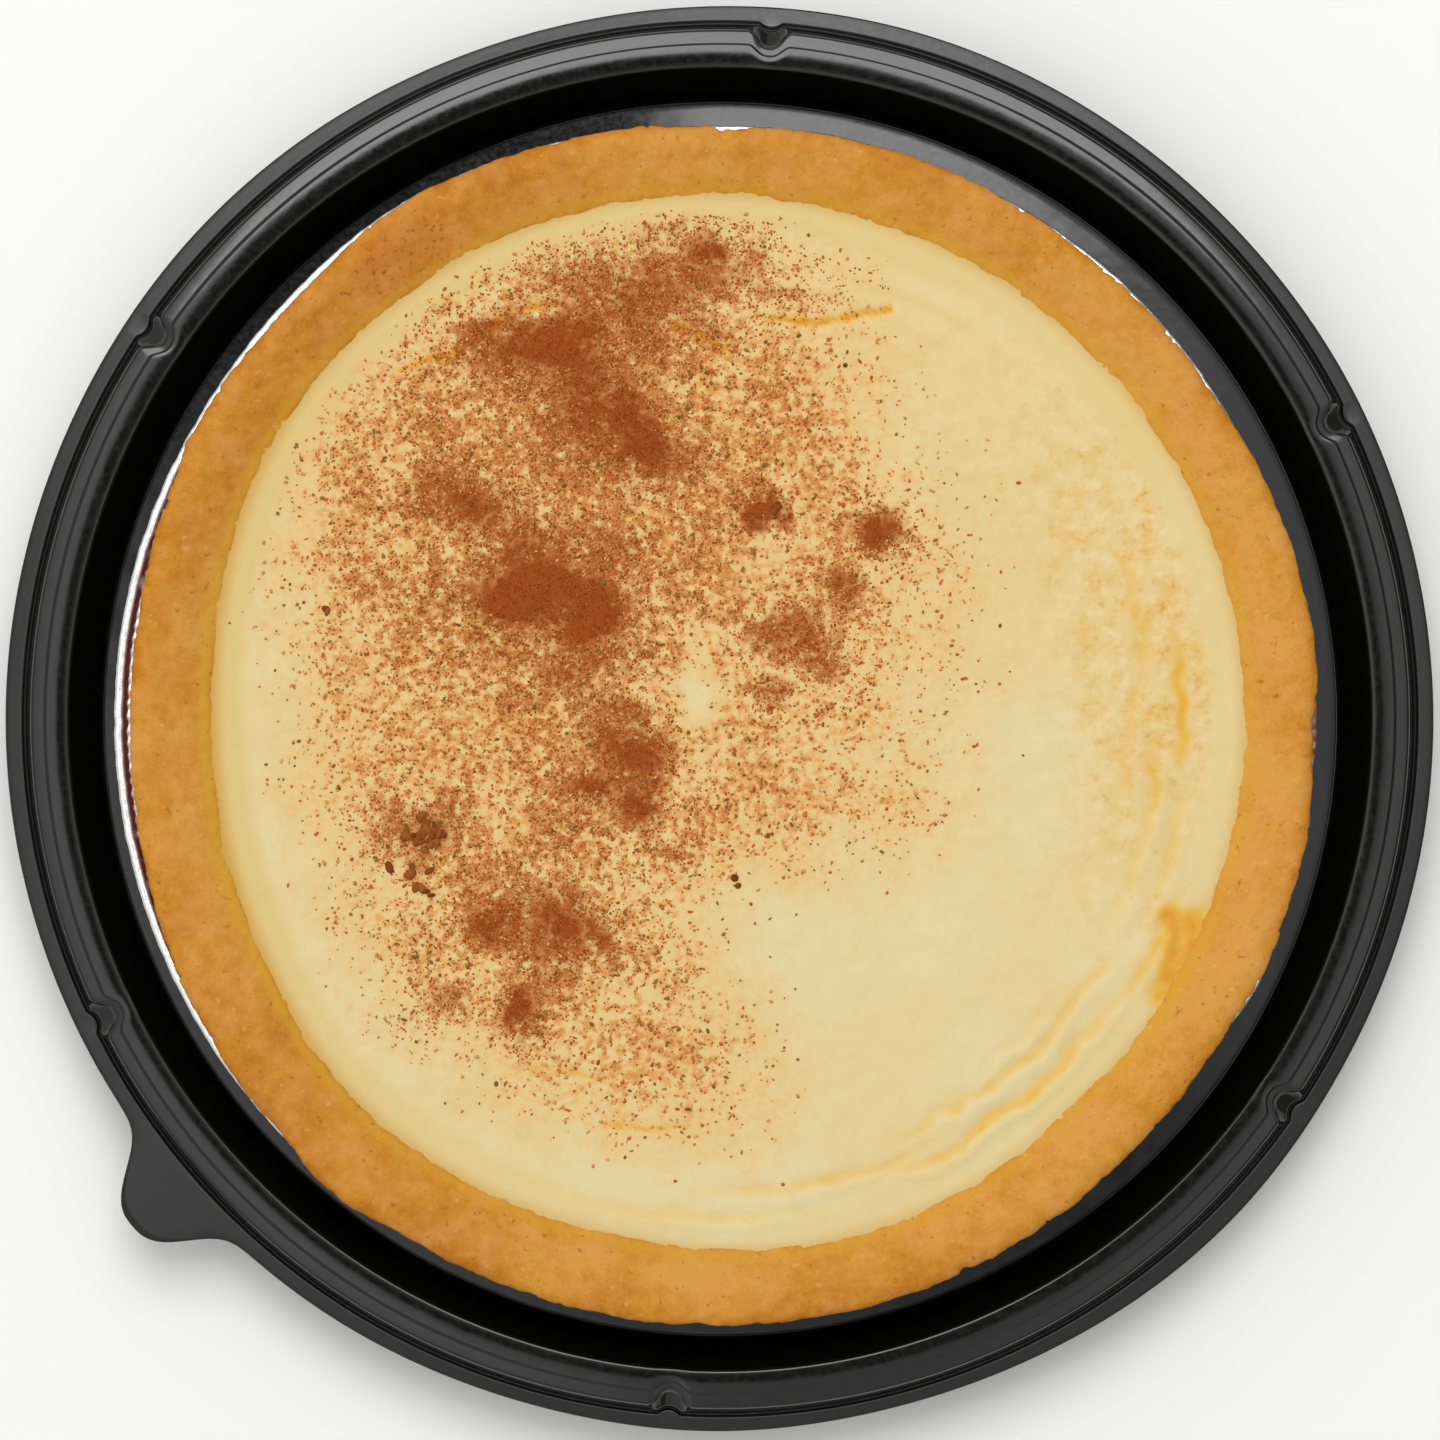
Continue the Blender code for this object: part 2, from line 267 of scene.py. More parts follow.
# Points round each piece and rows of them, as close as the piece's detail asks; the base has
# more at its catches and its tab, over a spread of angles in radians each way
BASE_AROUND = 420
BASE_CLOSEST = 0.0012
CATCH_SPREAD = 0.036
CATCH_ANGLE_COUNT = 37
TAB_SPREAD = 0.15
TAB_ANGLE_COUNT = 61
FOIL_AROUND = 1220
PASTRY_AROUND = 1440
PASTRY_ROWS = 46
CUSTARD_AROUND = 700
CUSTARD_ROWS = 132

# Studio, in metres: the floor's side and drop, the softbox, and the stand's shadow overhead
FLOOR_SIDE = 6.0
FLOOR_DROP = 0.2 * MM
SOFTBOX_PLACE = (-0.02, 0.93, 2.0)
SOFTBOX_SIDES = (1.15, 1.15)
STAND_TURN = math.radians(125)
STAND_AWAY = 0.04
STAND_HALF_SIDES = (0.13, 0.055)


def linear(hex_colour):
    """An sRGB hex colour as linear red, green, blue."""
    values = [int(hex_colour[start:start + 2], 16) / 255 for start in (0, 2, 4)]
    return tuple(v / 12.92 if v <= 0.04045 else ((v + 0.055) / 1.055) ** 2.4 for v in values)


def colour(name, description, hex_colour):
    """A colour in the panel, from an sRGB hex colour."""
    return FloatVectorProperty(
        name=name, description=description, subtype='COLOR', size=3, min=0.0, max=1.0,
        default=linear(hex_colour))


def length(name, description, millimetres):
    """A length in the panel, from millimetres."""
    return FloatProperty(
        name=name, description=description, default=millimetres * MM, unit='LENGTH', min=0.0,
        precision=4)


class PackBaseSettings(bpy.types.PropertyGroup):
    sheet: length("Sheet", "Thickness of the thermoformed sheet", 0.8)
    catch_depth: length("Catch depth", "How deep a lid catch cuts into the bead", 2.9)
    catch_half_width: length("Catch half width", "Half the width of a catch at the bead's top", 3.1)
    plastic: colour("Plastic", "Colour of the black sheet", "0E0E0D")


class FoilPanSettings(bpy.types.PropertyGroup):
    sheet: length("Foil", "Thickness of the foil", 0.22)
    crimps: IntProperty(
        name="Crimps", description="Number of crimps round the pan", default=280, min=12)
    crimp_depth: length("Crimp depth", "Height of a crimp above the foil", 0.20)
    metal: colour("Metal", "Colour of the aluminium", "E4E4E2")


class PastrySettings(bpy.types.PropertyGroup):
    lumps: length("Lumps", "Height of the broad unevenness", 0.22)
    crumb: length("Crumb", "Height of the fine crumb", 0.07)
    baked: colour("Baked", "Colour of the pastry where it is baked evenly", "CD892C")
    browned: colour("Browned", "Colour of the pastry's browned edge", "BC741F")
    pale: colour("Pale", "Colour of the palest pastry", "D79B45")


class CustardSettings(bpy.types.PropertyGroup):
    skin: colour("Skin", "Colour of the clean custard skin", "E4D7A6")
    warm: colour("Warm", "Colour of the custard's warmer parts", "E6C784")
    margin: colour("Margin", "Colour of the smooth band along the crust", "DFC47C")
    toasted: colour("Toasted", "Colour of the line where custard meets crust", "CE982E")
    fold: colour("Fold", "Colour in browned folds and cracks", "DC961A")


class CinnamonSettings(bpy.types.PropertyGroup):
    thin: colour("Thin", "Custard under a thin dusting", "ECB86E")
    even: colour("Even", "An even dusting", "CC7C38")
    thick: colour("Thick", "A thick dusting", "9E480E")
    seed: IntProperty(name="Seed", description="Seed of the scatter", default=11, min=0)


class StudioSettings(bpy.types.PropertyGroup):
    camera_height: length("Camera height", "Height of the camera over the lip", 1200.0)
    view_width: length("View width", "Width that the picture spans at the lip", 252.245)
    backdrop: colour("Backdrop", "Colour of the floor", "FCFCFA")
    softbox: FloatProperty(
        name="Softbox", description="Brightness of the softbox", default=4.55, min=0.0)
    room: FloatProperty(name="Room", description="Brightness of the room", default=0.71, min=0.0)


def settings(context, name):
    """The sizes and colours of one group, as the panel shows them."""
    return getattr(context.scene, "milk_tart_" + name)


def add_node(tree, kind, inputs=None, output=0, **options):
    """Add one node with its settings, values and links, and give one of its outputs."""
    made = tree.nodes.new(kind)
    for name, value in options.items():
        setattr(made, name, value)
    for name, value in (inputs or {}).items():
        if isinstance(value, bpy.types.NodeSocket):
            tree.links.new(value, made.inputs[name])
        else:
            made.inputs[name].default_value = value
    return made.outputs[output] if len(made.outputs) else made


def new_material(name, **shader_values):
    """A material named for what it is, with the values that are the same all over it."""
    made = bpy.data.materials.new(name)
    made.use_nodes = True
    tree = made.node_tree
    tree.nodes.clear()
    shader = tree.nodes.new("ShaderNodeBsdfPrincipled")
    for socket, value in shader_values.items():
        shader.inputs[socket.replace("_", " ")].default_value = value
    add_node(tree, "ShaderNodeOutputMaterial", {"Surface": shader.outputs["BSDF"]})
    return made, tree, shader


def grain(tree, size, detail=3.0, roughness=0.55, offset=0.0):
    """Noise on the object's own coordinates, with features of about the given size."""
    place = add_node(tree, "ShaderNodeTexCoord", output="Object")
    moved = add_node(tree, "ShaderNodeMapping", {
        "Vector": place, "Location": (offset, 1.7 * offset, 0.6 * offset)})
    return add_node(tree, "ShaderNodeTexNoise", {
        "Vector": moved, "Scale": 1.0 / size, "Detail": detail, "Roughness": roughness})


def patches(tree, size, low, high, most, detail, roughness, offset, where=None):
    """Patches of about the given size, from none at a noise of low to their most at high."""
    found = add_node(tree, "ShaderNodeMapRange", {
        "Value": grain(tree, size, detail, roughness, offset), "From Min": low, "From Max": high,
        "To Max": most})
    if where is None:
        return found
    return add_node(tree, "ShaderNodeMath", {0: found, 1: where}, operation='MULTIPLY')


def vary(tree, value, *swings):
    """Add patterns to a value; each swings from its low to its high."""
    for pattern, low, high in swings:
        swing = add_node(tree, "ShaderNodeMapRange", {
            "Value": pattern, "From Min": 0.3, "From Max": 0.7, "To Min": low, "To Max": high})
        value = add_node(tree, "ShaderNodeMath", {0: value, 1: swing}, operation='ADD')
    return value


def paint(tree, body, *coats):
    """Lay coats of colour over a body colour; each coat has its share and its colour."""
    for share, tint in coats:
        layers = [value if isinstance(value, bpy.types.NodeSocket) else (*value, 1.0)
                  for value in (body, tint)]
        body = add_node(tree, "ShaderNodeMix", {0: share, 6: layers[0], 7: layers[1]}, 2,
                        data_type='RGBA')
    return body


def emboss(tree, *layers):
    """Stack bumps; each layer has a pattern, its height and how strongly it shows."""
    normal = None
    for pattern, height, strength in layers:
        inputs = {"Height": pattern, "Distance": height, "Strength": strength}
        if normal:
            inputs["Normal"] = normal
        normal = add_node(tree, "ShaderNodeBump", inputs)
    return normal


def dress(tree, shader, **patterns):
    """Link patterns to the shader's sockets that they are named for."""
    for socket, pattern in patterns.items():
        tree.links.new(pattern, shader.inputs[socket.replace("_", " ")])


def full_turn(count):
    """Evenly spaced angles round the axis."""
    return np.linspace(0.0, math.tau, count, endpoint=False)


def unit_ring(angles):
    """Points on a circle of radius 1, where noise runs round a rim without a seam."""
    return np.stack((np.cos(angles), np.sin(angles), 0 * angles), axis=-1)


def turn_from(middle, angles):
    """How far angles are from a middle one, from minus to plus half a turn."""
    return np.angle(np.exp(1j * (angles - middle)))


def bulge(bulges, angles):
    """The sum of smooth swellings and hollows at angles round the rim, in metres."""
    total = np.zeros_like(angles)
    for middle, half_width, reach in bulges:
        away = turn_from(math.radians(middle), angles)
        share = np.minimum(np.abs(away) / math.radians(1.8 * half_width), 1.0)
        total += reach * MM * (0.5 + 0.5 * np.cos(math.pi * share))
    return total


def facing(angles, middle, width):
    """1 where the rim faces the middle angle, fading away over a width, both in degrees."""
    away = turn_from(math.radians(middle), angles)
    return np.exp(-(away / math.radians(width)) ** 2)


def custard_mouth(angles):
    """Radius of the case's mouth, where the custard meets it."""
    return PASTRY_MOUTH + bulge(MOUTH_BULGES, angles)


def smooth(value, low, high):
    """A smooth step from 0 at low to 1 at high."""
    share = np.clip((value - low) / (high - low), 0.0, 1.0)
    return share * share * (3.0 - 2.0 * share)


def rough(points, size, octaves=3, offset=0.0):
    """Fractal noise of about -1 to 1 at each of many points, with features of the given size."""
    shape = points.shape[:-1]
    spots = (points.reshape(-1, 3) / size + offset).tolist()
    values = [noise.fractal(spot, 0.9, 2.1, octaves) for spot in spots]
    return np.array(values).reshape(shape)


def bent_rows(corners, steps):
    """Rows of radii and heights for a profile whose corners are cut to smooth bends.

    A corner is (radius, height, cut), where radius and height are arrays over the angles.
    """
    around = np.broadcast_shapes(*[np.shape(value) for corner in corners for value in corner[:2]])
    nodes = [np.array([np.broadcast_to(corner[0], around), np.broadcast_to(corner[1], around)])
             for corner in corners]
    rows = [nodes[0]]
    for index in range(1, len(nodes) - 1):
        before, here, after = nodes[index - 1:index + 2]
        cut = corners[index][2]
        if not cut:
            rows.append(here)
            continue
        back = before - here
        ahead = after - here
        start = here + back * np.minimum(cut / np.hypot(*back), 0.49)
        end = here + ahead * np.minimum(cut / np.hypot(*ahead), 0.49)
        for share in np.linspace(0.0, 1.0, steps):
            rows.append((1 - share) ** 2 * start + 2 * share * (1 - share) * here
                        + share ** 2 * end)
    rows.append(nodes[-1])
    radii, heights = np.array(rows).transpose(1, 0, 2)
    return radii, heights


def place_rows(radii, heights, angles, middle_x=0.0):
    """Points round the axis from rows of radii and heights."""
    return np.stack((radii * np.cos(angles) + middle_x, radii * np.sin(angles), heights), axis=-1)


def skin_rows(name, points, first_pole=None, last_pole=None):
    """A mesh from rings of points that run from the axis out over the top and down."""
    rows, around = points.shape[:2]
    index = np.arange(rows * around).reshape(rows, around)
    beside = np.roll(index, -1, axis=1)
    quads = np.stack((index[:-1], index[1:], beside[1:], beside[:-1]), axis=-1).reshape(-1, 4)
    spots = points.reshape(-1, 3).tolist()
    faces = quads.tolist()
    if first_pole is not None:
        spots.append(tuple(first_pole))
        pole = len(spots) - 1
        faces += [(pole, a, b) for a, b in zip(index[0].tolist(), beside[0].tolist())]
    if last_pole is not None:
        spots.append(tuple(last_pole))
        pole = len(spots) - 1
        faces += [(pole, b, a) for a, b in zip(index[-1].tolist(), beside[-1].tolist())]
    mesh = bpy.data.meshes.new(name)
    mesh.from_pydata(spots, [], faces)
    mesh.shade_smooth()
    return mesh


def store(mesh, name, values, pole_value=0.0):
    """Keep one number for each point of a mesh; the poles at its end take pole_value."""
    flat = np.full(len(mesh.vertices), pole_value, dtype=np.float32)
    flat[:values.size] = values.reshape(-1)
    mesh.attributes.new(name, 'FLOAT', 'POINT').data.foreach_set("value", flat)


def add_piece(name, mesh, material):
    """An object of the mesh, in its one material."""
    made = bpy.data.objects.new(name, mesh)
    bpy.context.scene.collection.objects.link(made)
    mesh.materials.clear()
    mesh.materials.append(material)
    return made


def finished(made, material):
    """Turn an object with modifiers into a plain mesh."""
    bpy.context.view_layer.update()
    graph = bpy.context.evaluated_depsgraph_get()
    mesh = bpy.data.meshes.new_from_object(made.evaluated_get(graph))
    made.modifiers.clear()
    made.data = mesh
    mesh.materials.clear()
    mesh.materials.append(material)
    return made


def thicken(made, thickness):
    """Give a skin its sheet's thickness, on its under side."""
    wall = made.modifiers.new("Sheet", 'SOLIDIFY')
    wall.thickness = thickness
    wall.offset = -1.0
    wall.use_even_offset = False


def new_geometry_tree(name, values):
    """A Geometry Nodes tree with a named input for each value, which is its default."""
    tree = bpy.data.node_groups.new(name, 'GeometryNodeTree')
    tree.interface.new_socket("Geometry", in_out='INPUT', socket_type='NodeSocketGeometry')
    for title, value in values.items():
        kind = 'NodeSocketInt' if isinstance(value, int) else 'NodeSocketFloat'
        socket = tree.interface.new_socket(title, in_out='INPUT', socket_type=kind)
        socket.default_value = value
    tree.interface.new_socket("Geometry", in_out='OUTPUT', socket_type='NodeSocketGeometry')
    return tree, tree.nodes.new("NodeGroupInput").outputs


def end_tree(tree, geometry, material):
    """End a tree in Realize Instances and Set Material."""
    real = add_node(tree, "GeometryNodeRealizeInstances", {"Geometry": geometry})
    painted = add_node(tree, "GeometryNodeSetMaterial", {"Geometry": real, "Material": material})
    add_node(tree, "NodeGroupOutput", {"Geometry": painted})


def use_tree(made, tree, values):
    """Add a tree to an object and set its inputs, each by its socket's identifier."""
    modifier = made.modifiers.new(tree.name, 'NODES')
    modifier.node_group = tree
    for item in tree.interface.items_tree:
        if item.in_out == 'INPUT' and item.name in values:
            modifier[item.identifier] = values[item.name]


def black_plastic(options):
    """Thermoformed black polyester sheet: a wet gloss, with a satin lip that the tool textured."""
    made, tree, shader = new_material(
        "thermoformed_black_polyester", Base_Color=(*options.plastic, 1.0), IOR=1.51)
    satin = add_node(tree, "ShaderNodeAttribute", output="Fac", attribute_name="satin")
    gloss = add_node(tree, "ShaderNodeMapRange", {"Value": satin, "To Min": 0.10, "To Max": 0.30})
    pebble = add_node(tree, "ShaderNodeMapRange", {"Value": satin, "To Min": 0.03, "To Max": 0.5})
    dress(tree, shader,
          Roughness=vary(tree, gloss, (grain(tree, 0.9 * MM, 4.0), -0.02, 0.05)),
          Normal=emboss(tree, (grain(tree, 6.0 * MM, 1.0), 0.10 * MM, 0.35),
                        (grain(tree, 0.5 * MM, 3.0), 0.02 * MM, pebble)))
    return made


def foil(options):
    """Drawn aluminium foil: bright, with fine creases; fat baked brown into its groove, plus
    painted shade there and at the right.
    """
    made, tree, shader = new_material("drawn_aluminium_foil")
    baked_fat_and_painted_shade = add_node(tree, "ShaderNodeAttribute", output="Fac", attribute_name="baked_fat_and_painted_shade")
    bare = add_node(tree, "ShaderNodeMath", {0: 1.0, 1: baked_fat_and_painted_shade}, operation='SUBTRACT')
    # The dark red-brown coat is baked-on fat plus painted shade in the groove and on the shaded
    # crimps at the right
    dress(tree, shader,
          Base_Color=paint(tree, tuple(options.metal), (baked_fat_and_painted_shade, linear("6E241A"))),
          Metallic=bare,
          Roughness=vary(tree, 0.26, (grain(tree, 1.2 * MM), -0.08, 0.10)),
          Normal=emboss(tree, (grain(tree, 0.8 * MM, 2.0), 0.08 * MM, 0.6)))
    return made


def baked_pastry(options):
    """Shortcrust baked in its pan: dry, finely crumbed, browner at its edge and in its pores."""
    made, tree, shader = new_material("baked_shortcrust", Specular_IOR_Level=0.12)
    kept = {name: add_node(tree, "ShaderNodeAttribute", output="Fac", attribute_name=name)
            for name in ("toast", "inner", "spilt")}
    fine = grain(tree, 0.55 * MM, 3.0, 0.6)
    middle = grain(tree, 2.6 * MM, 3.0, 0.6, 3.0)
    broad = grain(tree, 13 * MM, 2.0, 0.5, 9.0)
    toast = vary(tree, kept["toast"], (broad, -0.30, 0.30), (middle, -0.26, 0.26),
                 (fine, -0.14, 0.14))
    light = add_node(tree, "ShaderNodeMapRange", {"Value": toast, "From Max": 0.5})
    dark = add_node(tree, "ShaderNodeMapRange", {"Value": toast, "From Min": 0.5})
    blush = patches(tree, 6 * MM, 0.46, 0.68, 0.5, 4.0, 0.6, 11.0)
    pores = patches(tree, 1.3 * MM, 0.66, 0.74, 0.45, 2.0, 0.5, 5.0)
    flecks = patches(tree, 1.6 * MM, 0.70, 0.76, 0.30, 1.0, 0.5, 14.0)
    specks = patches(tree, 1.2 * MM, 0.57, 0.66, 0.85, 3.0, 0.6, 27.0, kept["spilt"])
    dusted = add_node(tree, "ShaderNodeMath", {0: kept["spilt"], 1: 0.45}, operation='MULTIPLY')
    coats = (
        (light, options.baked), (dark, options.browned), (blush, linear("DC9A54")),
        (kept["inner"], linear("D8A034")), (pores, linear("84421A")), (flecks, linear("E8B878")),
        (dusted, linear("C06A30")), (specks, linear("94481A")))
    dress(tree, shader,
          Base_Color=paint(tree, tuple(options.pale), *coats),
          Roughness=vary(tree, 0.74, (middle, -0.08, 0.08)),
          Normal=emboss(tree, (middle, 0.3 * MM, 0.35), (fine, 0.16 * MM, 0.55)))
    return made


def custard_skin(options, spice):
    """Set custard with a satin skin, browned in its folds, with painted shade in the fold grooves,
    under a dusting of cinnamon.
    """
    made, tree, shader = new_material(
        "set_custard_skin", Specular_IOR_Level=0.25, Subsurface_Weight=0.06,
        Subsurface_Scale=1.5 * MM)
    kept = {name: add_node(tree, "ShaderNodeAttribute", output="Fac", attribute_name=name)
            for name in ("warm", "mottle", "margin", "toasted", "fold", "heap", "sprinkle")}
    middle = grain(tree, 4.0 * MM, 4.0, 0.6, 7.0)
    fine = grain(tree, 0.95 * MM, 2.0, 0.6, 1.0)
    broad = patches(tree, 24 * MM, 0.35, 0.65, 0.5, 2.0, 0.5, 2.0)
    cloud = patches(tree, 2.6 * MM, 0.48, 0.75, 0.5, 5.0, 0.65, 17.0)
    blotch = patches(tree, 3.0 * MM, 0.48, 0.72, 0.65, 5.0, 0.7, 23.0, kept["mottle"])
    strokes = patches(tree, 3.4 * MM, 0.46, 0.66, 0.85, 4.0, 0.6, 31.0, kept["mottle"])
    specks = patches(tree, 1.3 * MM, 0.53, 0.66, 0.9, 3.0, 0.6, 37.0, strokes)
    flecks = patches(tree, 2.4 * MM, 0.52, 0.66, 0.35, 3.0, 0.6, 47.0, kept["mottle"])
    uneven = add_node(tree, "ShaderNodeMapRange", {
        "Value": middle, "From Min": 0.25, "From Max": 0.6, "To Min": 0.6, "To Max": 1.1})
    fold = add_node(tree, "ShaderNodeMath", {0: kept["fold"], 1: uneven}, operation='MULTIPLY')
    # Weaker fold values give painted shade in the fold grooves, partly browning; the strongest give
    # browning
    crease = add_node(tree, "ShaderNodeMapRange", {"Value": fold, "From Max": 0.45})
    deep = add_node(tree, "ShaderNodeMapRange", {"Value": fold, "From Min": 0.42, "From Max": 0.9})
    gathered = add_node(tree, "ShaderNodeMapRange", {
        "Value": grain(tree, GATHERING, 2.0, 0.5), "From Min": 0.40, "From Max": 0.60,
        "To Min": 0.5, "To Max": 1.4})
    ragged = vary(tree, gathered, (fine, -0.35, 0.35), (middle, -0.25, 0.25))
    sprinkled = add_node(tree, "ShaderNodeMath", {0: kept["sprinkle"], 1: ragged},
                         operation='MULTIPLY')
    gold = patches(tree, 1.2 * MM, 0.48, 0.66, 0.8, 3.0, 0.6, 41.0, sprinkled)
    heaped = vary(tree, kept["heap"], (gathered, -0.10, 0.12), (fine, -0.18, 0.18),
                  (middle, -0.14, 0.14))
    heaped = add_node(tree, "ShaderNodeMath", {0: heaped, 1: kept["heap"]}, operation='MULTIPLY')
    dusted = [add_node(tree, "ShaderNodeMapRange", {
        "Value": value, "From Min": low, "From Max": high, "To Max": most})
        for value, low, high, most in (
            (sprinkled, 0.05, 0.40, 0.90), (sprinkled, 0.26, 0.80, 0.90),
            (heaped, 0.10, 0.34, 0.75), (heaped, 0.30, 0.75, 1.0))]
    # The kept warm coat also carries the painted warm sheen at the upper right
    coats = (
        (broad, options.warm), (kept["warm"], options.warm), (cloud, options.warm),
        (blotch, linear("E2BC78")), (strokes, linear("E2B65A")), (specks, linear("D49632")),
        (flecks, linear("F4E2B4")), (kept["margin"], options.margin),
        (kept["toasted"], options.toasted), (crease, linear("E4B446")), (dusted[0], spice.thin),
        (dusted[1], spice.even), (gold, linear("DBA656")), (deep, options.fold),
        (dusted[2], linear("B4642A")), (dusted[3], spice.thick))
    dress(tree, shader,
          Base_Color=paint(tree, tuple(options.skin), *coats),
          Roughness=add_node(tree, "ShaderNodeMapRange", {
              "Value": kept["sprinkle"], "From Max": 0.5, "To Min": 0.45, "To Max": 0.85}),
          Normal=emboss(tree, (middle, 0.5 * MM, 0.35), (fine, 0.12 * MM, 0.35)))
    return made


def ground_spice(name, dark, light):
    """Ground cinnamon bark: dull, with each grain its own tone."""
    made, tree, shader = new_material(name, Roughness=0.9, Specular_IOR_Level=0.1)
    tone = add_node(tree, "ShaderNodeAttribute", output="Fac", attribute_name="tone")
    dress(tree, shader, Base_Color=paint(tree, linear(dark), (tone, linear(light))))
    return made


class MILKTART_OT_pack_base(bpy.types.Operator):
    """Build the black pack base with its bead, lid catches, lip and tab"""
    bl_idname = "milk_tart.pack_base"
    bl_label = "Pack base"

    def execute(self, context):
        options = settings(context, "pack_base")
        angles = self.angles()
        niche, dip = self.catches(angles, options)
        turned = np.mod(angles + math.radians(60), math.tau) - math.radians(60)
        raised = smooth(turned, math.radians(-45), math.radians(-20))
        raised = raised * (1.0 - smooth(turned, math.radians(88), math.radians(102)))
        away = turn_from(TAB_ANGLE, angles)
        tab = TAB_REACH * 2.0 ** -(np.abs(away / TAB_HALF_WIDTH) ** TAB_STEEPNESS)
        edge = LIP_RADIUS + tab + bulge(LIP_BULGES, angles)
        radii, heights = self.profile(options, niche, dip, edge, FLOOR_RISE * raised)
        points = place_rows(radii, heights, angles)
        warp = 0.18 * MM * np.sin(2 * angles + 0.7) + 0.10 * MM * np.sin(5 * angles + 2.0)
        points[..., 2] += warp * smooth(radii, BEAD_OUTER, LIP_RADIUS)
        mesh = skin_rows("pack_base_sheet", points, (0.0, 0.0, options.sheet))
        store(mesh, "satin", smooth(radii, BEAD_FOOT, BEAD_FOOT + 0.5 * MM))
        material = black_plastic(options)
        piece = add_piece("pack_base_sheet", mesh, material)
        thicken(piece, options.sheet)
        finished(piece, material)
        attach(piece, "root")
        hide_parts("pack_base")
        return {'FINISHED'}

    def angles(self):
        """Angles round the base, closer together at the catches and the tab."""
        every = [full_turn(BASE_AROUND)]
        for catch in CATCH_ANGLES:
            every.append(catch + np.linspace(-CATCH_SPREAD, CATCH_SPREAD, CATCH_ANGLE_COUNT))
        every.append(TAB_ANGLE + np.linspace(-TAB_SPREAD, TAB_SPREAD, TAB_ANGLE_COUNT))
        every = np.sort(np.mod(np.concatenate(every), math.tau))
        return every[np.insert(np.diff(every) > BASE_CLOSEST, 0, True)]

    def catches(self, angles, options):
        """How far each catch cuts in at the bead's top and at its foot."""
        niche = np.zeros_like(angles)
        dip = np.zeros_like(angles)
        for catch in CATCH_ANGLES:
            across = turn_from(catch, angles) * BEAD_OUTER
            share = np.clip(np.abs(across) / (1.25 * options.catch_half_width), 0.0, 1.0)
            niche += options.catch_depth * (0.5 + 0.5 * np.cos(math.pi * share ** 1.3))
            low = 1.0 - (across / (2.0 * MM)) ** 2
            dip += 0.9 * MM * np.clip(low, 0.0, 1.0)
        return niche, dip

    def profile(self, options, niche, dip, edge, floor_rise):
        """Rows of the upper surface from the floor's middle to the lip's edge."""
        floor = options.sheet
        top = BASE_HIGH.z
        rim = top - 0.38 * MM
        shelf = smooth(niche / options.catch_depth, 0.0, 0.4)
        bead_edge = BEAD_OUTER - niche
        width = bead_edge - BEAD_INNER
        foot = BEAD_FOOT - dip
        corners = [
            (60 * MM + 0 * niche, floor, 0),
            (86 * MM, floor, 0),
            (100 * MM, floor + floor_rise, 3.0 * MM),
            (108.6 * MM, floor, 0.5 * MM),
            (FLOOR_RADIUS, floor, 0.7 * MM),
        ]
        for share in (0.3, 0.6, 0.85):
            radius = FLOOR_RADIUS + share * (BEAD_INNER - FLOOR_RADIUS)
            corners.append((radius, floor + share * (top - 0.6 * MM - floor), 0))
        corners += [
            (BEAD_INNER, top - 0.6 * MM, 0.3 * MM),
            (BEAD_INNER + 0.075 * width, top - 0.10 * MM, 0.25 * MM),
            (BEAD_INNER + 0.38 * width, top, 0.8 * MM),
            (BEAD_INNER + 0.61 * width, top - 0.06 * MM, 0.15 * MM),
            (BEAD_INNER + 0.68 * width, top - 0.24 * MM, 0.15 * MM),
            (bead_edge, rim, 0.4 * MM),
            (bead_edge + 0.45 * MM, rim - (1.0 - 0.1 * shelf) * MM, 0.4 * MM),
            (foot - (0.3 + 0.2 * shelf) * MM, rim - (4.0 - 1.5 * shelf) * MM, 0.3 * MM),
            (foot, LIP_TOP - LIP_CREASE, 0.2 * MM),
            (foot + 0.6 * MM, LIP_TOP, 0.25 * MM),
        ]
        for share in (0.15, 0.4, 0.65, 0.9):
            radius = foot + 0.6 * MM + share * (edge - foot - 0.6 * MM)
            corners.append((radius, LIP_TOP - LIP_FALL * share, 0))
        corners.append((edge, LIP_TOP - LIP_FALL - 0.05 * MM, 0))
        return bent_rows(corners, 5)


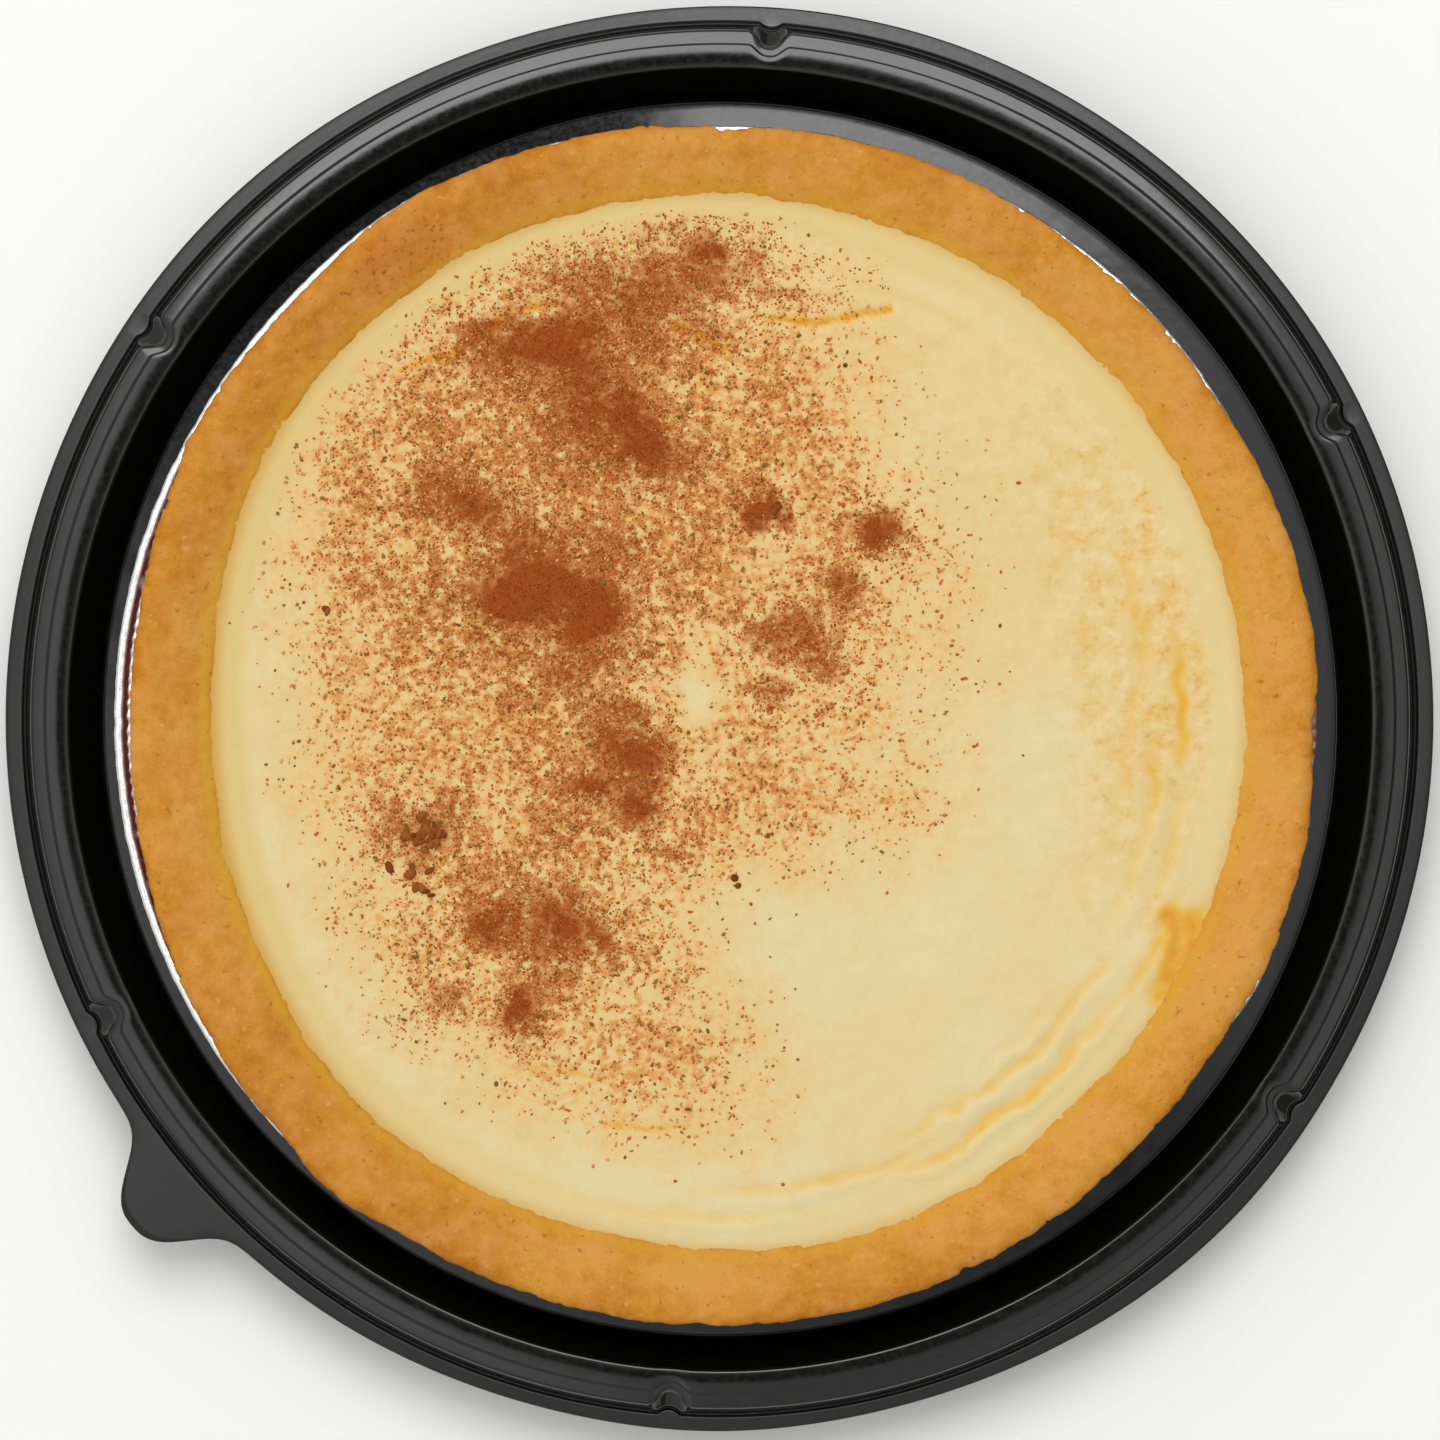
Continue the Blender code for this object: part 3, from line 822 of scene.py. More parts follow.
class MILKTART_OT_foil_pan(bpy.types.Operator):
    """Build the crimped foil pan with its rolled edge"""
    bl_idname = "milk_tart.foil_pan"
    bl_label = "Foil pan"

    def execute(self, context):
        options = settings(context, "foil_pan")
        angles = full_turn(FOIL_AROUND)
        ring = unit_ring(angles)
        rim = FOIL_RIM + bulge(FOIL_BULGES, angles) + 0.14 * MM * rough(ring, 0.03, 3)
        radii, heights = self.profile(options, rim)
        points = place_rows(radii, heights, angles, TART_X)
        mesh = skin_rows("foil_pan_crimped", points, (TART_X, 0.0, FOIL_LOW.z + options.sheet))
        inward = rim - radii
        wall = smooth(radii, FOIL_BOTTOM, FOIL_BOTTOM + 4 * MM)
        store(mesh, "crimp", wall * smooth(inward, 2.1 * MM, 2.5 * MM))
        store(mesh, "turn", np.broadcast_to(angles, radii.shape))
        # The groove's dark line is part baked-on fat, part painted shade, strongest on the left and
        # the right
        fat = 0.25 + facing(angles, 182, 34) + facing(angles, -2, 5)
        fat = np.clip(fat * (1.0 + 0.6 * rough(ring, 0.03, 3, 6.0)), 0.0, 1.0)
        groove = np.minimum(1.8 * np.exp(-((inward - 2.05 * MM) / (0.42 * MM)) ** 2), 1.0)
        # At the right the whole rim is painted dark in speckles: painted shade of the crimps, not
        # fat
        speckle = np.clip(1.0 + 1.2 * rough(ring, 0.012, 2, 9.0), 0.0, 1.0)
        painted_shade_at_right = facing(angles, -2, 6.5) * speckle
        store(mesh, "baked_fat_and_painted_shade", np.maximum(groove * fat, painted_shade_at_right))
        material = foil(options)
        piece = add_piece("foil_pan_crimped", mesh, material)
        self.crimp(piece, options, material)
        thicken(piece, options.sheet)
        finished(piece, material)
        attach(piece, "root")
        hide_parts("foil_pan")
        return {'FINISHED'}

    def profile(self, options, rim):
        """The pan's inner surface: up the wall, down into a groove and over the rolled edge."""
        bottom = FOIL_LOW.z + options.sheet
        top = FOIL_HIGH.z
        corners = [(40 * MM + 0 * rim, bottom, 0), (FOIL_BOTTOM, bottom, 1.5 * MM)]
        for share in (0.3, 0.6):
            radius = FOIL_BOTTOM + share * (FOIL_MOUTH - FOIL_BOTTOM)
            corners.append((radius, bottom + share * (top - bottom), 0))
        corners += [
            (FOIL_MOUTH, top - 0.25 * MM, 0.5 * MM),
            (rim - 2.45 * MM, top - 0.30 * MM, 0.15 * MM),
            (rim - 2.00 * MM, top - 1.20 * MM, 0.2 * MM),
            (rim - 1.65 * MM, top - 0.25 * MM, 0.15 * MM),
            (rim - 1.40 * MM, top - 0.06 * MM, 0.2 * MM),
            (rim - 0.80 * MM, top, 0.4 * MM),
            (rim - 0.20 * MM, top - 0.12 * MM, 0.25 * MM),
            (rim, top - 0.70 * MM, 0.3 * MM),
            (rim - 0.35 * MM, top - 1.20 * MM, 0),
        ]
        return bent_rows(corners, 4)

    def crimp(self, piece, options, material):
        """Geometry Nodes: press crimps of uneven width and depth into the wall and flange."""
        values = {"Crimps": options.crimps, "Depth": options.crimp_depth, "Unevenness": 5.0}
        tree, given = new_geometry_tree("crimps", values)
        turn, wall = [
            add_node(tree, "GeometryNodeInputNamedAttribute", {"Name": name}, data_type='FLOAT')
            for name in ("turn", "crimp")]
        place = add_node(tree, "GeometryNodeInputPosition")
        sway = add_node(tree, "ShaderNodeTexNoise", {
            "Vector": place, "Scale": 1.0 / (5 * MM), "Detail": 2.0})
        even = add_node(tree, "ShaderNodeMath", {0: turn, 1: given["Crimps"]},
                        operation='MULTIPLY')
        phase = add_node(tree, "ShaderNodeMath", {
            0: sway, 1: given["Unevenness"], 2: even}, operation='MULTIPLY_ADD')
        wave = add_node(tree, "ShaderNodeMath", {0: phase}, operation='SINE')
        uneven = add_node(tree, "ShaderNodeMapRange", {
            "Value": sway, "From Min": 0.3, "From Max": 0.7, "To Min": 0.4, "To Max": 1.6})
        reach = add_node(tree, "ShaderNodeMath", {0: uneven, 1: wall}, operation='MULTIPLY')
        deep = add_node(tree, "ShaderNodeMath", {0: reach, 1: given["Depth"]}, operation='MULTIPLY')
        lift = add_node(tree, "ShaderNodeMath", {0: wave, 1: deep}, operation='MULTIPLY')
        normal = add_node(tree, "GeometryNodeInputNormal")
        offset = add_node(tree, "ShaderNodeVectorMath", {0: normal, "Scale": lift},
                          operation='SCALE')
        pressed = add_node(tree, "GeometryNodeSetPosition", {
            "Geometry": given["Geometry"], "Offset": offset})
        end_tree(tree, pressed, material)
        use_tree(piece, tree, values)


class MILKTART_OT_pastry_case(bpy.types.Operator):
    """Build the pastry case with its uneven, crumbly rim"""
    bl_idname = "milk_tart.pastry_case"
    bl_label = "Pastry case"

    def execute(self, context):
        options = settings(context, "pastry_case")
        angles = full_turn(PASTRY_AROUND)
        radii, heights, shares = self.sections(angles)
        points = place_rows(radii, heights, angles, TART_X)
        fine = (shares > 0.0) & (shares < 1.0)
        rim = np.clip(np.minimum(shares, 1.0 - shares) * 12.0, 0.0, 1.0)[:, None] * fine[:, None]
        lift = options.lumps * rough(points[fine], 7 * MM, 3)
        lift += 0.6 * options.lumps * rough(points[fine], 2.4 * MM, 3, 5.0)
        lift += options.crumb * rough(points[fine], 0.8 * MM, 2, 9.0)
        pits = rough(points[fine], 1.5 * MM, 2, 21.0)
        lift -= 0.20 * MM * smooth(pits, 0.42, 0.75)
        normals = self.normals(radii, heights, angles)[fine]
        points[fine] += lift[..., None] * normals * rim[fine][..., None]
        mesh = skin_rows(
            "pastry_crust", points,
            (TART_X, 0.0, float(heights[0, 0])), (TART_X, 0.0, float(heights[-1, 0])))
        across = np.broadcast_to(shares[:, None], radii.shape)
        self.bake(mesh, across, angles)
        piece = add_piece("pastry_crust", mesh, baked_pastry(options))
        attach(piece, "root")
        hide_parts("pastry_case")
        return {'FINISHED'}

    def sections(self, angles):
        """Rows of the case; a row's share runs from 0 at the custard to 1 under the rim."""
        ring = unit_ring(angles)
        ragged = rough(ring * PASTRY_EDGE, 5 * MM, 3, 31.0)
        chips = smooth(rough(ring * PASTRY_EDGE, 2.6 * MM, 2, 40.0), 0.45, 0.8)
        edge = PASTRY_EDGE + bulge(EDGE_BULGES, angles) + 0.28 * MM * ragged - 0.5 * MM * chips
        sway = rough(ring * PASTRY_MOUTH, 9 * MM, 2, 50.0)
        mouth = custard_mouth(angles) + 0.25 * MM * sway
        level = FILLING_HIGH.z
        wave = 0.3 * MM * np.sin(3 * angles) + 0.2 * MM * np.sin(7 * angles + 1)
        top = PASTRY_TOP + wave
        low = PASTRY_LOW.z
        floor = low + PASTRY_THICKNESS
        slant = 0.4 * MM
        inside = [
            (PASTRY_INNER_FLOOR + 0 * angles, floor, 0),
            (82.0 * MM, 0.55 * level + 0.45 * floor, 0),
        ]
        rim = [
            (mouth - 1.5 * MM, level - TUCK_DEPTH, 0),
            (mouth, level, 0.5 * MM),
            (mouth + 2.6 * MM, level + 1.35 * MM, 1.2 * MM),
            (mouth + 6.4 * MM, top - 0.8 * MM, 1.5 * MM),
            (edge - 4.2 * MM, top, 1.6 * MM),
            (edge - 1.3 * MM, top - 0.35 * MM, 1.1 * MM),
            (edge, top - 1.6 * MM, 0.7 * MM),
            (edge - 0.5 * MM, FOIL_HIGH.z + 0.1 * MM, 0.2 * MM),
            (FOIL_MOUTH + 0.8 * MM, FOIL_HIGH.z + 0.1 * MM, 0),
        ]
        outside = [
            (FOIL_MOUTH - slant, FOIL_HIGH.z - 1.0 * MM, 0),
            (FOIL_BOTTOM - slant - 0.4 * MM, low + 0.6 * MM, 0),
            (FOIL_BOTTOM - 2.2 * MM + 0 * angles, low, 0),
        ]
        upper_r, upper_z = bent_rows(rim, 4)
        rows_r, rows_z = self.even(upper_r, upper_z, PASTRY_ROWS)
        inside_r, inside_z = bent_rows(inside, 1)
        outside_r, outside_z = bent_rows(outside, 1)
        radii = np.vstack((inside_r, rows_r, outside_r))
        heights = np.vstack((inside_z, rows_z, outside_z))
        shares = np.concatenate((
            np.full(len(inside), -1.0), np.linspace(0.0, 1.0, len(rows_r)),
            np.full(len(outside), 2.0)))
        return radii, heights, shares

    def even(self, radii, heights, count):
        """The same profile with its rows spaced evenly along it."""
        steps = np.hypot(np.diff(radii, axis=0), np.diff(heights, axis=0)).mean(axis=1)
        along = np.concatenate(([0.0], np.cumsum(steps)))
        wanted = np.linspace(0.0, along[-1], count)
        low = np.clip(np.searchsorted(along, wanted) - 1, 0, len(along) - 2)
        share = ((wanted - along[low]) / (along[low + 1] - along[low]))[:, None]
        return (radii[low] * (1 - share) + radii[low + 1] * share,
                heights[low] * (1 - share) + heights[low + 1] * share)

    def normals(self, radii, heights, angles):
        """Directions out of the rows' surface."""
        out = -np.gradient(heights, axis=0)
        up = np.gradient(radii, axis=0)
        size = np.maximum(np.hypot(out, up), 1e-9)
        out, up = out / size, up / size
        return np.stack((out * np.cos(angles), out * np.sin(angles), up), axis=-1)

    def bake(self, mesh, across, angles):
        """How browned each point is, and the line where the custard meets the pastry."""
        toast = 0.44 + 0.26 * facing(angles, 130, 35) + 0.16 * facing(angles, 225, 35)
        toast = toast + 0.06 * facing(angles, 90, 30) - 0.30 * facing(angles, 350, 50)
        toast = toast - 0.20 * facing(angles, 184, 22)
        toast = toast - 0.55 * facing(angles, 267, 9) * np.exp(-((across - 0.36) / 0.12) ** 2)
        outer = 0.40 * smooth(across, 0.62, 0.86)
        inner = 0.12 * smooth(across, 0.1, 0.3) * (across < 0.5)
        store(mesh, "toast", toast + outer - inner, 0.5)
        line = np.exp(-((across - 0.19) / 0.06) ** 2)
        strength = 0.55 + 0.40 * facing(angles, 190, 40) + 0.35 * facing(angles, 330, 8)
        store(mesh, "inner", strength * line * (across >= 0.0))
        spill = sum(reach * facing(angles, middle, width)
                    for middle, width, reach in ((121.5, 3.5, 1.0), (127, 2.5, 0.8), (111, 4, 0.2)))
        store(mesh, "spilt", spill * smooth(across, 0.12, 0.3) * (1.0 - smooth(across, 0.5, 0.8)))


def seen_to_real(spot):
    """A place in the view from above, in millimetres at the lip's height, as metres on the skin."""
    camera = bpy.context.scene.milk_tart_studio.camera_height
    shrink = (camera + LIP_TOP - FILLING_HIGH.z) / camera
    return spot[0] * MM * shrink, spot[1] * MM * shrink


def blobs(x, y, table, sharp=2.0, grow=1.0):
    """Each blob's strength at the points, highest in its middle."""
    found = []
    for spot_x, spot_y, half_x, half_y, turn, strength in table:
        middle_x, middle_y = seen_to_real((spot_x, spot_y))
        cosine, sine = math.cos(math.radians(turn)), math.sin(math.radians(turn))
        along = ((x - middle_x) * cosine + (y - middle_y) * sine) / (grow * half_x * MM)
        aside = ((y - middle_y) * cosine - (x - middle_x) * sine) / (grow * half_y * MM)
        found.append(strength * np.exp(-0.69 * (along ** 2 + aside ** 2) ** (sharp / 2)))
    return np.array(found)


def dusting(points):
    """How much cinnamon lies at each point of the custard: in heaps, sprinkled, in clumps."""
    sway = [2.4 * MM * rough(points, 7 * MM, 3, start) + 0.9 * MM * rough(points, 2 * MM, 2, start)
            for start in (60.0, 80.0)]
    x = points[..., 0] + sway[0]
    y = points[..., 1] + sway[1]
    drifts = blobs(x, y, DRIFTS, 2.1)
    bare = 1.0 - np.clip(blobs(x, y, BARE_SPOTS, 2.4).max(axis=0), 0.0, 1.0)
    patchy = 1.0 + 0.55 * rough(points, 9 * MM, 3, 100.0) + 0.40 * rough(points, 2.2 * MM, 2, 120.0)
    heap = blobs(x, y, HEAPS, 2.4, 1.1).max(axis=0) * (0.62 + 0.35 * patchy) * bare
    halo = blobs(x, y, HEAPS, 2.0, 1.9).max(axis=0) * patchy * bare
    heap = np.maximum(heap, 0.62 * halo)
    thin = (1.0 - np.prod(1.0 - np.clip(drifts, 0.0, 0.9), axis=0)) * patchy * bare
    clump = blobs(points[..., 0], points[..., 1], CLUMPS, 4.0).max(axis=0)
    sprinkle = np.maximum(thin, 0.85 * heap)
    return np.clip(heap, 0.0, 1.0), np.clip(sprinkle, 0.0, 0.9), clump


def polyline_distance(x, y, spots):
    """Distance from many points to a line through a few spots, all in metres."""
    best = np.full(x.shape, 1.0)
    for (ax, ay), (bx, by) in zip(spots[:-1], spots[1:]):
        run_x, run_y = bx - ax, by - ay
        share = np.clip(((x - ax) * run_x + (y - ay) * run_y) / (run_x ** 2 + run_y ** 2), 0.0, 1.0)
        best = np.minimum(best, np.hypot(x - ax - share * run_x, y - ay - share * run_y))
    return best


class MILKTART_OT_custard(bpy.types.Operator):
    """Build the custard with its folds, cracks and margin"""
    bl_idname = "milk_tart.custard"
    bl_label = "Custard"

    def execute(self, context):
        options = settings(context, "custard")
        angles = full_turn(CUSTARD_AROUND)
        mouth = custard_mouth(angles) + CUSTARD_TUCK
        shares = (np.arange(1, CUSTARD_ROWS + 1) / CUSTARD_ROWS)[:, None]
        radii = mouth * shares
        across = np.broadcast_to(shares, radii.shape)
        heights = FILLING_HIGH.z - 0.3 * MM * (1.0 - across ** 3)
        points = place_rows(radii, heights, angles, TART_X)
        lift, fold = self.relief(points, angles, across)
        clear = 1.0 - smooth(across, 0.93, 0.985)
        dust = [clear * amount for amount in dusting(points)]
        points[..., 2] += lift + 0.25 * MM * dust[0] ** 2 + 0.08 * MM * dust[1]
        foot = np.array([mouth - 2.5 * MM, np.full_like(mouth, PASTRY_INNER_FLOOR - 0.5 * MM)])
        foot_z = np.array([np.full_like(mouth, FILLING_HIGH.z - TUCK_DEPTH),
                           np.full_like(mouth, FILLING_LOW.z)])
        below = place_rows(foot, foot_z, angles, TART_X)
        every = np.concatenate((points, below))
        mesh = skin_rows("custard_skin", every, (TART_X, 0.0, float(points[0, :, 2].mean())),
                         (TART_X, 0.0, FILLING_LOW.z))
        self.colours(mesh, angles, across, fold, dust, points)
        material = custard_skin(options, settings(context, "cinnamon"))
        piece = add_piece("custard_skin", mesh, material)
        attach(piece, "root")
        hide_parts("custard_filling")
        return {'FINISHED'}

    def relief(self, points, angles, across):
        """Height added by the skin's unevenness, folds and cracks, and how browned they are, with
        painted shade in the fold grooves.
        """
        x, y = points[..., 0], points[..., 1]
        margin = smooth(across, 0.90, 0.955)
        lift = 0.18 * MM * rough(points, 17 * MM, 2, 140.0) * (1.0 - margin)
        lift += 0.07 * MM * rough(points, 4.5 * MM, 3, 150.0) * (1.0 - margin)
        wrinkle = 1.0 - np.abs(rough(points, 11 * MM, 3, 160.0)) * 3.0
        lift += 0.10 * MM * np.clip(wrinkle, 0.0, 1.0) * (1.0 - margin)
        lift += 0.10 * MM * margin + 0.15 * MM * smooth(across, 0.985, 1.0)
        brown = np.zeros_like(lift)
        degrees = np.degrees(angles)
        sway = rough(unit_ring(angles), 0.11, 2, 3.0)
        crinkle = rough(points, 5 * MM, 2, 130.0)
        radius = np.hypot(x - TART_X, y)
        for index, (middle, start, end, wander, height, browning) in enumerate(FOLDS):
            phase = np.mod(degrees - start, 360.0) / (end - start)
            inside = np.sin(math.pi * np.clip(phase, 0.0, 1.0)) ** 0.7
            line = middle * MM + wander * MM * (np.roll(sway, 37 * index) + 0.5 * crinkle)
            away = (radius - line) / (1.15 * MM)
            ridge = np.exp(-away ** 2) - 0.7 * np.exp(-(away + 1.9) ** 2)
            lift += height * MM * inside * ridge
            # The darkening sits in the groove beside each ridge: partly browning, partly painted
            # shade
            brown = np.maximum(brown, 1.3 * browning * inside * np.exp(-(away + 1.5) ** 2))
        for spots, width, depth, browning in CRACKS:
            real = [seen_to_real(spot) for spot in spots]
            wobble = 0.5 * MM * rough(points, 2.5 * MM, 2, 170.0)
            away = np.abs(polyline_distance(x, y, real) + wobble) / (width * MM)
            lift -= depth * MM * np.exp(-away ** 2)
            brown = np.maximum(brown, 1.3 * browning * np.exp(-away ** 2))
        return lift, np.minimum(brown, 1.0)

    def colours(self, mesh, angles, across, fold, dust, points):
        """Keep where the skin is dusted, browned and painted with shade in its folds, mottled, warm
        (with a painted sheen at the upper right) or part of the margin.
        """
        wander = 0.012 * rough(unit_ring(angles), 0.35, 3, 8.0)
        right = facing(angles, 12, 32)
        left = facing(angles, 188, 43)
        inner = MARGIN_START + wander
        margin = smooth(across, inner - 0.020, inner + 0.016)
        toasted = smooth(across, 0.962 - 0.014 * left, 0.992) * (0.5 + 0.4 * left)
        mottle = right * smooth(across, 0.58, 0.78) * (1.0 - margin)
        # A warmer pool round a spot at the upper right is a painted warm sheen; the warmth under
        # the dusting and in the mottle is the custard's own
        shine_x, shine_y = 45 * MM, 42 * MM
        away = np.hypot(points[..., 0] - shine_x, points[..., 1] - shine_y)
        warm = np.maximum(0.6 * np.exp(-(away / (38 * MM)) ** 2), 0.6 * smooth(dust[1], 0.0, 0.15))
        warm = np.maximum(warm, 0.8 * mottle)
        heap, sprinkle, clump = dust
        store(mesh, "heap", heap)
        store(mesh, "sprinkle", sprinkle)
        store(mesh, "loose", sprinkle * (1.0 - smooth(heap, 0.45, 0.8)))
        store(mesh, "clump", clump)
        store(mesh, "fold", fold)
        band = 0.48 + 0.47 * facing(angles, 175, 62) + 0.18 * facing(angles, 95, 45)
        store(mesh, "margin", (band - 0.25 * facing(angles, -80, 40)) * margin)
        store(mesh, "toasted", toasted)
        store(mesh, "mottle", mottle)
        store(mesh, "warm", warm)


class MILKTART_OT_cinnamon(bpy.types.Operator):
    """Scatter the grains of cinnamon over the custard, one piece for each kind of grain"""
    bl_idname = "milk_tart.cinnamon"
    bl_label = "Cinnamon"

    # name, dark and light colour, attribute that carries them, least of it that does, grains
    # per square metre, smallest and largest size in millimetres, sides, rings
    KINDS = (
        ("cinnamon_dust_ochre", "D08C44", "E8B06C", "loose", 0.06, 1.9e6, 0.42, 1.00, 4, 2),
        ("cinnamon_dust_brown", "A2642A", "CC8A44", "loose", 0.07, 1.7e6, 0.36, 0.90, 4, 2),
        ("cinnamon_heaped", "964010", "BA6A2A", "heap", 0.12, 8.0e6, 0.30, 0.66, 4, 2),
        ("cinnamon_grains_dark", "7A5420", "98703A", "loose", 0.03, 1.6e5, 0.45, 0.95, 5, 4),
        ("cinnamon_grains_red", "B45028", "D07844", "loose", 0.03, 2.2e5, 0.40, 0.90, 5, 4),
        ("cinnamon_clumps", "783C10", "A4602A", "clump", 0.30, 1.7e6, 1.05, 1.95, 8, 6),
    )

    def execute(self, context):
        skin = bpy.data.objects["custard_skin"]
        options = settings(context, "cinnamon")
        for index, kind in enumerate(self.KINDS):
            self.scatter(skin, kind, options.seed + 7 * index)
        return {'FINISHED'}

    def scatter(self, skin, kind, seed):
        name, dark, light, carrier, least, density, smallest, largest, sides, rings = kind
        material = ground_spice(name, dark, light)
        bed = add_piece(name, skin.data.copy(), material)
        values = {"Grains": density, "Smallest": smallest * MM, "Largest": largest * MM,
                  "Least": least, "Seed": seed}
        tree, given = new_geometry_tree("scatter_" + name, values)
        carried = add_node(tree, "GeometryNodeInputNamedAttribute", {"Name": carrier},
                           data_type='FLOAT')
        above = add_node(tree, "ShaderNodeMath", {0: carried, 1: given["Least"]},
                         operation='SUBTRACT', use_clamp=True)
        place = add_node(tree, "GeometryNodeInputPosition")
        huddle = add_node(tree, "ShaderNodeTexNoise", {
            "Vector": place, "Scale": 1.0 / GATHERING, "Detail": 2.0})
        close = add_node(tree, "ShaderNodeMapRange", {
            "Value": huddle, "From Min": 0.42, "From Max": 0.62, "To Min": 0.15, "To Max": 2.0})
        gathered = add_node(tree, "ShaderNodeMath", {0: above, 1: close}, operation='MULTIPLY')
        wanted = add_node(tree, "ShaderNodeMath", {
            0: gathered, 1: given["Grains"]}, operation='MULTIPLY')
        spread = add_node(tree, "GeometryNodeDistributePointsOnFaces", {
            "Mesh": given["Geometry"], "Density": wanted, "Seed": given["Seed"]})
        shape = add_node(tree, "GeometryNodeMeshUVSphere", {
            "Segments": sides, "Rings": rings, "Radius": 0.5})
        size = add_node(tree, "FunctionNodeRandomValue", {
            2: given["Smallest"], 3: given["Largest"], "Seed": 1}, 1)
        flatness = add_node(tree, "FunctionNodeRandomValue", {
            0: (0.5, 0.5, 0.4), 1: (1.5, 1.0, 0.8), "Seed": 2}, data_type='FLOAT_VECTOR')
        turned = add_node(tree, "FunctionNodeRandomValue", {
            0: (-0.5, -0.5, 0.0), 1: (0.5, 0.5, math.tau), "Seed": 3}, data_type='FLOAT_VECTOR')
        grown = add_node(tree, "ShaderNodeVectorMath", {0: flatness, "Scale": size},
                         operation='SCALE')
        grains = add_node(tree, "GeometryNodeInstanceOnPoints", {
            "Points": spread, "Instance": shape, "Rotation": turned, "Scale": grown})
        tone = add_node(tree, "FunctionNodeRandomValue", {2: 0.0, 3: 1.0, "Seed": 4}, 1)
        toned = add_node(tree, "GeometryNodeStoreNamedAttribute", {
            "Geometry": grains, "Name": "tone", "Value": tone}, data_type='FLOAT',
            domain='INSTANCE')
        end_tree(tree, toned, material)
        use_tree(bed, tree, values)
        finished(bed, material)
        bed.data.shade_smooth()
        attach(bed, "root")


